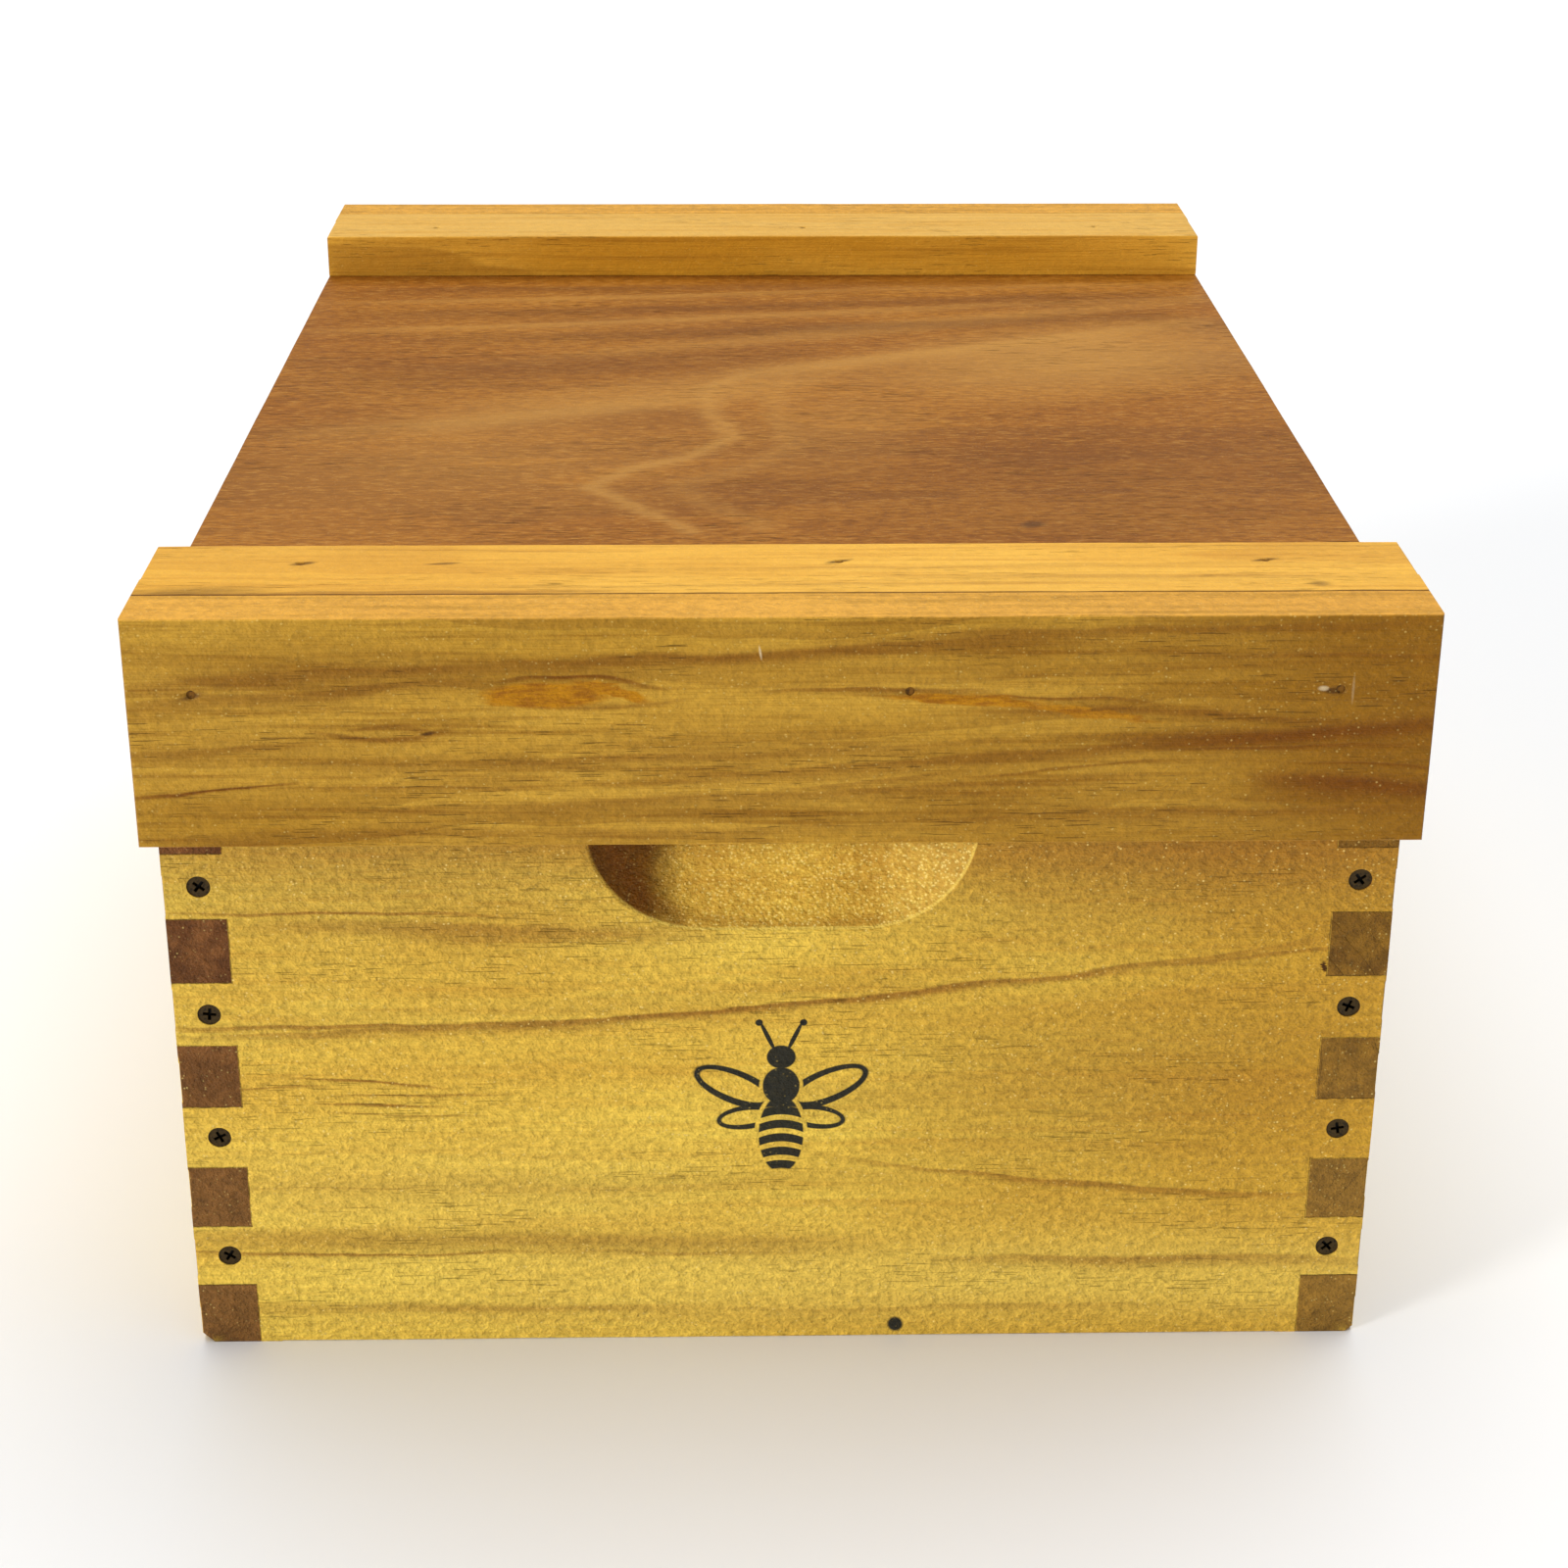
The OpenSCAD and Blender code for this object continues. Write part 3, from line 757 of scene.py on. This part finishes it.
HARD_EDGE = math.radians(24)     # faces that meet at more than this have an edge between them
STRIP = 14.0                     # width of the strips that a board's faces are cut into
WOBBLE = 0.12                    # how far its faces bend in and out
WAVES = 38                       # how many times they do so in a metre, or about that


def cut(shape, point, normal, near=0.01, clear=False):
    """Cuts a shape by a plane. clear drops what lies in front of it. near is in millimetres."""
    geometry = shape.verts[:] + shape.edges[:] + shape.faces[:]
    return bmesh.ops.bisect_plane(shape, geom=geometry, dist=near * MM, plane_co=point, plane_no=normal,
                                  clear_outer=clear)


def mesh_of(shape, name):
    """Turns a finished shape into a mesh."""
    mesh = bpy.data.meshes.new(name)
    shape.to_mesh(mesh)
    shape.free()
    return mesh


def outer_box(nodes):
    """The lowest and highest corner round several CAD nodes."""
    boxes = [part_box(n) for n in nodes]
    low = Vector(min(b[0][i] for b in boxes) for i in range(3))
    high = Vector(max(b[1][i] for b in boxes) for i in range(3))
    return low, high


def on_outside(edge, low, high):
    """True for an edge that runs along an edge of that box."""
    middle = (edge.verts[0].co + edge.verts[1].co) / 2
    flush = 0.05 * MM
    return sum(min(middle[i] - low[i], high[i] - middle[i]) < flush for i in range(3)) >= 2


def slice_up(shape, low, high):
    """Cuts the faces into strips, so that they can be bent a little."""
    for axis in range(3):
        span = high[axis] - low[axis]
        count = round(span / (STRIP * MM))
        normal = Vector((axis == 0, axis == 1, axis == 2))
        for i in range(1, count):
            point = Vector(low)
            point[axis] += span * i / count
            cut(shape, point, normal)


def cut_corner(shape, low, high, corner, size):
    """Wears off one corner of a board. corner is its direction, and size is what each edge loses."""
    place = Vector(high[i] if corner[i] > 0 else low[i] for i in range(3))
    normal = Vector(corner).normalized()
    left = cut(shape, place - normal * (size * MM / math.sqrt(3)), normal, clear=True)["geom_cut"]
    bmesh.ops.holes_fill(shape, edges=[e for e in left if isinstance(e, bmesh.types.BMEdge)])


def worked(node, envelope, wide=0.7, tight=0.14, chips=()):
    """A copy of a CAD board with eased outer edges, crisp joints and faces that aren't dead flat.

    Sizes are in millimetres. Edges on the envelope get the wide easing, and the others the tight one.
    chips are worn corners: (direction of the corner, length lost along each edge).
    """
    shortest = 1.0 * MM
    shape = bmesh.new()
    shape.from_mesh(NODES[node].data)
    bmesh.ops.remove_doubles(shape, verts=shape.verts, dist=0.002 * MM)
    bmesh.ops.dissolve_limit(shape, angle_limit=math.radians(0.4), verts=shape.verts, edges=shape.edges)
    low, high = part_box(node)
    for edge in shape.edges:
        sharp = edge.is_manifold and edge.calc_face_angle() > HARD_EDGE
        edge.seam = sharp and edge.calc_length() > shortest
    slice_up(shape, low, high)
    outside_low, outside_high = outer_box(envelope)
    for corner, size in chips:
        cut_corner(shape, low, high, corner, size)
    marked = [e for e in shape.edges if e.seam and e.is_manifold and e.calc_face_angle() > HARD_EDGE]
    outer = [e for e in marked if on_outside(e, outside_low, outside_high)]
    inner = [e for e in marked if not on_outside(e, outside_low, outside_high)]
    for edges, width, segments in ((inner, tight, 1), (outer, wide, 3)):
        alive = [e for e in edges if e.is_valid]
        if alive:
            bmesh.ops.bevel(shape, geom=alive, offset=width * MM, segments=segments, profile=0.5,
                            affect="EDGES", clamp_overlap=True)
    for vert in shape.verts:
        vert.co += noise.noise_vector(vert.co * WAVES) * (WOBBLE * MM)
    bmesh.ops.triangulate(shape, faces=[f for f in shape.faces if len(f.verts) > 4])
    for face in shape.faces:
        face.smooth = True
    piece = add_object(node + "_worked", mesh_of(shape, node + "_worked"))
    keep_flat(piece)
    return piece


def keep_flat(piece):
    """Weighted normals, so that wide faces stay flat beside their eased edges."""
    piece.data.set_sharp_from_angle(angle=HARD_EDGE)
    piece.modifiers.new("normals", "WEIGHTED_NORMAL").keep_sharp = True


def stand_for(piece, node, material):
    """Puts a piece in a CAD node's place, on its body and in its material slot."""
    piece.data.materials.clear()
    piece.data.materials.append(material)
    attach(piece, BODY_OF[node])
    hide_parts(node)


# ---------- print on the front ----------

BEE_LEVEL = 96.0         # the middle of the bee, above the ground


def bee_print(net, s, a):
    """A plain bee seen from above, with a striped body, in the middle of the front, and one inky knot."""
    z = a - BEE_LEVEL
    side = abs(s)
    wings = masked(net, SPOT, side, z, [
        (15.5, 8.0, 16.0, 6.6, 0.45, 0.05, 1.0),
        (11.5, -4.0, 11.0, 4.8, -0.15, 0.06, 1.0),
    ])
    veins = masked(net, SPOT, side, z, [
        (16.5, 8.6, 12.6, 4.2, 0.45, 0.06, 1.0),
        (12.5, -4.1, 8.2, 2.8, -0.15, 0.08, 1.0),
    ])
    clear = masked(net, SPOT, s, z, [(0, 8.5, 7.6, 8.8, 0, 0.05, 1.0), (0, -11.0, 9.2, 17.2, 0, 0.04, 1.0)])
    body = masked(net, SPOT, s, z, [
        (0, 20.0, 5.0, 4.6, 0, 0.08, 1.0),
        (0, 8.5, 6.4, 7.4, 0, 0.06, 1.0),
        (0, -11.0, 7.8, 15.6, 0, 0.05, 1.0),
    ])
    bands = net.math("SINE", (z + side * side * 0.03) * 1.15)
    gaps = net.smooth(bands, 0.25, 0.45) * net.smooth(z, 0.5, -1.5)
    feelers = masked(net, SPOT, side, z, [
        (4.6, 28.0, 6.4, 0.8, 1.15, 0.25, 1.0),
        (7.6, 33.6, 1.3, 1.3, 0, 0.2, 1.0),
    ])
    wing_ink = net.math("MAXIMUM", wings - veins, 0) * (1 - clear)
    knot = masked(net, SPOT, s, a, FRONT_KNOT)
    return net.greatest([wing_ink, body * (1 - gaps), feelers, knot])


# ---------- pieces ----------

BOX_ENVELOPE = ["front_board", "rear_board", "left_board", "right_board"]
FINGERS = 10             # of the box joint, up one corner


def shape_box():
    """The four boards of the box. Their joint lines, and the painted shade and highlights in their handholds,
    are placed by the CAD's sizes.
    """
    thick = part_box("left_board")[1][0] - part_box("left_board")[0][0]
    low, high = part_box("front_board")
    face_x, face_y = high[0] / MM, -low[1] / MM
    reach_x, reach_y = face_x - thick / MM, face_y - thick / MM
    finger = high[2] / MM / FINGERS
    front = wood("front_pine", PINE, "X", "Z", seed=1, pith=(-330, 20), spacing=26.0, warp=5.0,
                 ring_depth=0.22, streaks=FRONT_STREAKS_AND_SHADOW, pale=FRONT_PALE, spots=FRONT_PITS,
                 ink=bee_print, scoop=face_y, seam=(reach_x, finger, 0), shade=(-40, 200, 0.9))
    rear = wood("rear_pine", PINE, "X", "Z", seed=4, pith=(90, 196), spacing=8.0, warp=3.5,
                ring_depth=0.6, taper=-0.1, scoop=face_y, seam=(reach_x, finger, 0))
    left = wood("left_pine", REDDISH_END, "Y", "Z", seed=7, pith=(130, -138), spacing=8.0, warp=3.0,
                ring_depth=0.6, taper=0.11, scoop=face_x, seam=(reach_y, finger, 1))
    right = wood("right_pine", OLIVE_END, "Y", "Z", seed=9, pith=(100, 128), spacing=7.5, warp=3.0,
                 ring_depth=0.6, taper=-0.12, scoop=face_x, seam=(reach_y, finger, 1))
    worn_left = [((-1, -1, -1), 4.2), ((-1, 1, -1), 2.4)]
    worn_right = [((1, -1, -1), 2.6), ((1, 1, -1), 3.4)]
    jobs = [("front_board", front, ()), ("rear_board", rear, ()), ("left_board", left, worn_left),
            ("right_board", right, worn_right)]
    for node, material, chips in jobs:
        stand_for(worked(node, BOX_ENVELOPE, chips=chips), node, material)


def add_amber(material):
    """Resin pockets, which are orange lenses in the rim's front, and a few pale scars."""
    net, shader, base = finished_material(material)
    board = Board(net, "X", "Z", 2)
    rag = (board.noise(0.07, 0.25, detail=3.0, roughness=0.65) - 0.5) * 8.0
    pocket = masked(net, SPOT, board.s + rag * 2.0, board.a + rag * 0.5, AMBER_SPOTS)
    speckle = board.noise(0.12, 0.5, detail=4.0, roughness=0.7)
    resin = net.mix(net.smooth(speckle, 0.35, 0.65), tone("#bd8008"), tone("#955c08"))
    scars = masked(net, SPOT, board.s, board.a, RIM_SCARS)
    colour = net.mix(pocket * (1 - board.end), base, resin)
    net.put(net.mix(scars * (1 - board.end), colour, tone("#e8d2a8")), shader.inputs["Base Color"])


def shape_lid():
    """The lid's panel, rims, battens and rails, each with its own wood."""
    rim_front = wood("rim_front_pine", RIM, "X", "Z", seed=2, pith=(330, -190), spacing=13.0, warp=7.0,
                     ring_depth=0.45, streaks=RIM_STREAKS, spots=RIM_SPOTS, shade=(-20, 210, 0.95),
                     pebble=0.6, lean=-0.03)
    add_amber(rim_front)
    rim_rear = wood("rim_rear_pine", RIM, "X", "Z", seed=5, pith=(236, 210), spacing=7.0, warp=3.0,
                    ring_depth=0.6, taper=0.12, pebble=0.7)
    batten_front = wood("batten_front_pine", BATTEN, "X", "Y", seed=3, pith=(-200, -120),
                        spacing=6.0, warp=1.6, ring_depth=0.4, streaks=BATTEN_STREAKS,
                        spots=BATTEN_SPOTS, pebble=0.25)
    batten_rear = wood("batten_rear_pine", REAR_BATTEN, "X", "Z", seed=6, pith=(260, -120),
                       spacing=7.0, warp=1.8, ring_depth=0.5, pebble=0.25)
    panel = wood("panel_veneer", VENEER, "X", "Y", seed=8, pith=(-60, 140), spacing=46.0, warp=16.0,
                 ring_depth=0.35, pale=PANEL_PALE, streaks=PANEL_DARK, figure=PANEL_FIGURE,
                 glow=PANEL_GLOW, spots=PANEL_SPOTS, pebble=0.15)
    rail = wood("rail_pine", RAIL, "Y", "X", seed=11, pith=(80, 100), spacing=7.0, warp=2.0, pebble=0.4)
    end_rail = wood("end_rail_pine", RAIL, "X", "Y", seed=12, pith=(80, 100), spacing=7.0, warp=2.0,
                    pebble=0.4)
    add_plies(panel)
    add_groove(batten_front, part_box("lid_front_batten")[0][1] / MM)
    front_pair = ["lid_front_rim", "lid_front_batten"]
    rear_pair = ["lid_rear_rim", "lid_rear_batten"]
    rails = ["lid_left_rail", "lid_right_rail", "lid_front_rail", "lid_rear_rail"]
    jobs = [
        ("lid_front_rim", front_pair, rim_front, 0.9), ("lid_front_batten", front_pair, batten_front, 0.8),
        ("lid_rear_rim", rear_pair, rim_rear, 0.9), ("lid_rear_batten", rear_pair, batten_rear, 0.8),
        ("lid_panel", ["lid_panel"], panel, 0.4), ("lid_left_rail", rails, rail, 0.4),
        ("lid_right_rail", rails, rail, 0.4), ("lid_front_rail", rails, end_rail, 0.4),
        ("lid_rear_rail", rails, end_rail, 0.4),
    ]
    for node, envelope, material, wide in jobs:
        stand_for(worked(node, envelope, wide=wide, tight=0.35), node, material)


def add_groove(material, level):
    """A dark line where a batten meets its rim board. level is in millimetres along Y."""
    net, shader, base = finished_material(material)
    board = Board(net, "X", "Y", 3)
    uneven = board.noise(0.05, 0.05, detail=3.0)
    line = net.smooth(abs(board.a - level) + (uneven - 0.5) * 1.2, 1.0, 0.25)
    net.put(net.mix(line * 0.85, base, tone("#4a2808")), shader.inputs["Base Color"])


def add_plies(material):
    """Shows the layers of the plywood on its four edges."""
    plies = 7
    net, shader, base = finished_material(material)
    low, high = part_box("lid_panel")
    coords = net.add("ShaderNodeTexCoord")
    z = net.split(Value(net, coords.outputs["Object"]))[2]
    up = net.split(Value(net, coords.outputs["Normal"]))[2]
    level = (z - low[2]) / ((high[2] - low[2]) / plies)
    layer = net.math("FLOOR", level)
    part = level - layer
    odd = net.smooth(net.math("MODULO", layer, 2.0), 0.4, 0.6)
    glue = 1 - net.smooth(net.math("MINIMUM", part, 1 - part), 0.03, 0.1)
    speck = net.noise(Value(net, coords.outputs["Object"]), scale=900, detail=2.0)
    ply = net.mix(odd, tone("#b98a50"), tone("#8a5c2e"))
    ply = net.mix(net.smooth(speck, 0.45, 0.7) * 0.5, ply, tone("#6f4520"))
    ply = net.mix(glue * 0.7, ply, tone("#3c2210"))
    net.put(net.mix(net.smooth(abs(up), 0.6, 0.4), base, ply), shader.inputs["Base Color"])


def dull_metal(name, base, dirt, rough, metallic, recess_shade_planes=()):
    """Metal with wax and dust in it. The planes given, (axis, level) in mm, mark the screws' drives:
    metal below them is painted near black, as painted shade in the recesses.
    """
    material, net, shader = new_material(name)
    place = Value(net, net.add("ShaderNodeTexCoord").outputs["Object"])
    grime = net.noise(place, scale=900, detail=4.0, roughness=0.7)
    film = net.noise(place, scale=260, detail=2.0)
    colour = net.mix(net.smooth(grime, 0.45, 0.7), tone(base), tone(dirt))
    if recess_shade_planes:
        xyz = net.split(place)
        heights = [abs(xyz[AXES.index(axis)]) / MM - level for axis, level in recess_shade_planes]
        # Painted shade: the drives' recesses are painted near black.
        colour = net.mix(net.smooth(net.greatest(heights), 0.0, -0.5), colour, tone("#0d0a07"))
    net.put(colour, shader.inputs["Base Color"])
    net.put(rough + (film - 0.5) * 0.4, shader.inputs["Roughness"])
    shader.inputs["Metallic"].default_value = metallic
    shader.inputs["Specular IOR Level"].default_value = 0.15
    add_bump(net, shader, grime, 0.05)
    return material


HEAD_SUNK = 0.45         # how far below its face a screw's drive starts


def dress_fasteners():
    """The CAD's own screws and nails keep their shapes and get their metals."""
    low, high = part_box("front_board")
    heads = [("Y", -low[1] / MM - HEAD_SUNK), ("X", high[0] / MM - HEAD_SUNK)]
    screw = dull_metal("black_screw", "#403012", "#171006", 0.5, 0.0, recess_shade_planes=heads)
    nail = dull_metal("dark_nail", "#7c5216", "#2c1a08", 0.6, 0.0)
    for node, slot in SLOT_OF.items():
        if slot in ("black_screw", "dark_nail"):
            mesh = NODES[node].data
            mesh.materials.clear()
            mesh.materials.append(screw if slot == "black_screw" else nail)


def ease(node, width, material):
    """Keeps the CAD node, and rounds its long edges with modifiers."""
    piece = NODES[node]
    weld = piece.modifiers.new("weld", "WELD")
    weld.merge_threshold = 0.005 * MM
    flat = piece.modifiers.new("flat", "DECIMATE")
    flat.decimate_type = "DISSOLVE"
    flat.angle_limit = math.radians(0.5)
    bevel = piece.modifiers.new("bevel", "BEVEL")
    bevel.width = width * MM
    bevel.segments = 2
    bevel.angle_limit = math.radians(40)
    piece.modifiers.new("normals", "WEIGHTED_NORMAL").keep_sharp = False
    piece.data.materials.clear()
    piece.data.materials.append(material)


CELL = 5.4               # across the flats
CELL_DEPTH = 0.9


def comb_side(shape, low, high, x, inward):
    """One face of a foundation sheet: hexagons whose middles are pressed in."""
    radius = CELL / math.sqrt(3)
    snap = 0.2
    corners = {}

    def corner(y, z, depth=0.0):
        key = (round(y / snap), round(z / snap), depth > 0)
        if key not in corners:
            corners[key] = shape.verts.new((x + inward * depth * MM, y * MM, z * MM))
        return corners[key]

    rows = math.ceil((high[2] - low[2]) / (1.5 * radius)) + 2
    columns = math.ceil((high[1] - low[1]) / CELL) + 2
    for row in range(rows):
        for column in range(columns):
            y = low[1] + (column + 0.5 * (row % 2)) * CELL - CELL / 2
            z = low[2] + row * 1.5 * radius - radius / 2
            middle = corner(y, z, CELL_DEPTH)
            ring = [corner(y + radius * math.sin(k * math.pi / 3), z + radius * math.cos(k * math.pi / 3))
                    for k in range(6)]
            for k in range(6):
                shape.faces.new((middle, ring[k], ring[(k + 1) % 6]))


def comb_sheet(low, high):
    """A closed sheet of pressed hexagons, which fills the box given in millimetres."""
    shape = bmesh.new()
    comb_side(shape, low, high, low[0] * MM, 1)
    comb_side(shape, low, high, high[0] * MM, -1)
    for axis, corner, side in ((1, low, -1), (1, high, 1), (2, low, -1), (2, high, 1)):
        normal = Vector((0, side * (axis == 1), side * (axis == 2)))
        cut(shape, Vector(corner) * MM, normal, near=0.002, clear=True)
    rims = [e for e in shape.edges if e.is_boundary]
    bmesh.ops.bridge_loops(shape, edges=rims)
    bmesh.ops.recalc_face_normals(shape, faces=shape.faces[:])
    return mesh_of(shape, "comb_sheet")


def plastic():
    """Black foundation plastic with a thin rubbed film of wax on its cell walls."""
    material, net, shader = new_material("foundation_plastic")
    place = Value(net, net.add("ShaderNodeTexCoord").outputs["Object"])
    film = net.noise(place, scale=38, detail=3.0, roughness=0.6)
    crumbs = net.noise(place, scale=700, detail=2.0, roughness=0.6)
    wax = net.smooth(film, 0.42, 0.7) * 0.35 + net.smooth(crumbs, 0.6, 0.75) * 0.2
    net.put(net.mix(wax, tone("#222226"), tone("#6d6242")), shader.inputs["Base Color"])
    net.put(0.42 + (film - 0.5) * 0.3, shader.inputs["Roughness"])
    add_bump(net, shader, crumbs, 0.08)
    return material


def nail_head(shape, place, direction):
    """A small domed nail head that stands on a face. Sizes are in millimetres."""
    radius, rise = 1.1, 0.2
    turn = Vector(direction).to_track_quat("Z", "Y").to_matrix().to_4x4()
    where = Matrix.Translation(Vector(place) * MM) @ turn
    sides = 14
    rings = []
    for share, height in ((1.0, -0.3), (1.0, 0.4), (0.8, 0.85), (0.4, 1.0)):
        ring = []
        for k in range(sides):
            angle = 2 * math.pi * k / sides
            local = Vector((radius * share * math.cos(angle), radius * share * math.sin(angle), rise * height))
            ring.append(shape.verts.new(where @ (local * MM)))
        rings.append(ring)
    for lower, upper in zip(rings, rings[1:]):
        for k in range(sides):
            shape.faces.new((lower[k], lower[(k + 1) % sides], upper[(k + 1) % sides], upper[k]))
    shape.faces.new(rings[-1])
    shape.faces.new(rings[0][::-1])


END_BAR = 9.5            # how thick a frame's end bars are


def frame_nails(name):
    """The nails that hold one frame together: from above, from below and through the end bars."""
    top_low, top_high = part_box(f"{name}_top_bar")
    end_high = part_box(f"{name}_end_bars")[1]
    foot_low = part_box(f"{name}_bottom_bar")[0]
    middle = (top_low[0] + top_high[0]) / 2 / MM
    shape = bmesh.new()
    for side in (-1, 1):
        y = side * (end_high[1] / MM - END_BAR / 2)
        outer = side * end_high[1] / MM
        for offset in (-5.5, 5.0):
            nail_head(shape, (middle + offset, y + 0.6 * side, top_high[2] / MM), (0, 0, 1))
            nail_head(shape, (middle + offset * 0.7, y, foot_low[2] / MM), (0, 0, -1))
        for offset, level in ((13.8, 6), (-13.8, 5)):
            nail_head(shape, (middle + offset, outer, top_low[2] / MM + level), (0, side, 0))
    return mesh_of(shape, f"{name}_nails")


def place_piece(name, mesh, body, material, offset=(0, 0, 0)):
    """A new object that rides on a body. A mesh used more than once keeps its first material."""
    piece = add_object(name, mesh)
    piece.location = offset
    if not mesh.materials:
        mesh.materials.append(material)
    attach(piece, body)
    return piece


def dress_frames():
    """Bare wood on the bars, and a pressed sheet and small nails for each frame."""
    along = wood("frame_pine_y", BARE, "Y", "X", seed=14, pith=(300, -60), spacing=5.0, warp=1.5, pebble=0.0)
    upright = wood("frame_pine_z", BARE, "Z", "X", seed=15, pith=(300, -60), spacing=5.0, warp=1.5, pebble=0.0)
    nail = dull_metal("frame_nail", "#8d8f90", "#5d5c58", 0.4, 0.9)
    black = plastic()
    low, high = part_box(f"{FRAMES[0]}_foundation")
    sheet = comb_sheet([v / MM for v in low], [v / MM for v in high])
    for name in FRAMES:
        for part in ("top_bar", "end_bars", "bottom_bar"):
            ease(f"{name}_{part}", 0.35, upright if part == "end_bars" else along)
        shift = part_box(f"{name}_foundation")[0][0] - low[0]
        piece = place_piece(f"{name}_comb", sheet, name, black, (shift, 0, 0))
        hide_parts(f"{name}_foundation")
        place_piece(f"{name}_nails", frame_nails(name), name, nail)


noise.seed_set(NOISE_SEED)
add_camera()
add_studio()
add_floor()
shape_box()
shape_lid()
dress_fasteners()
dress_frames()
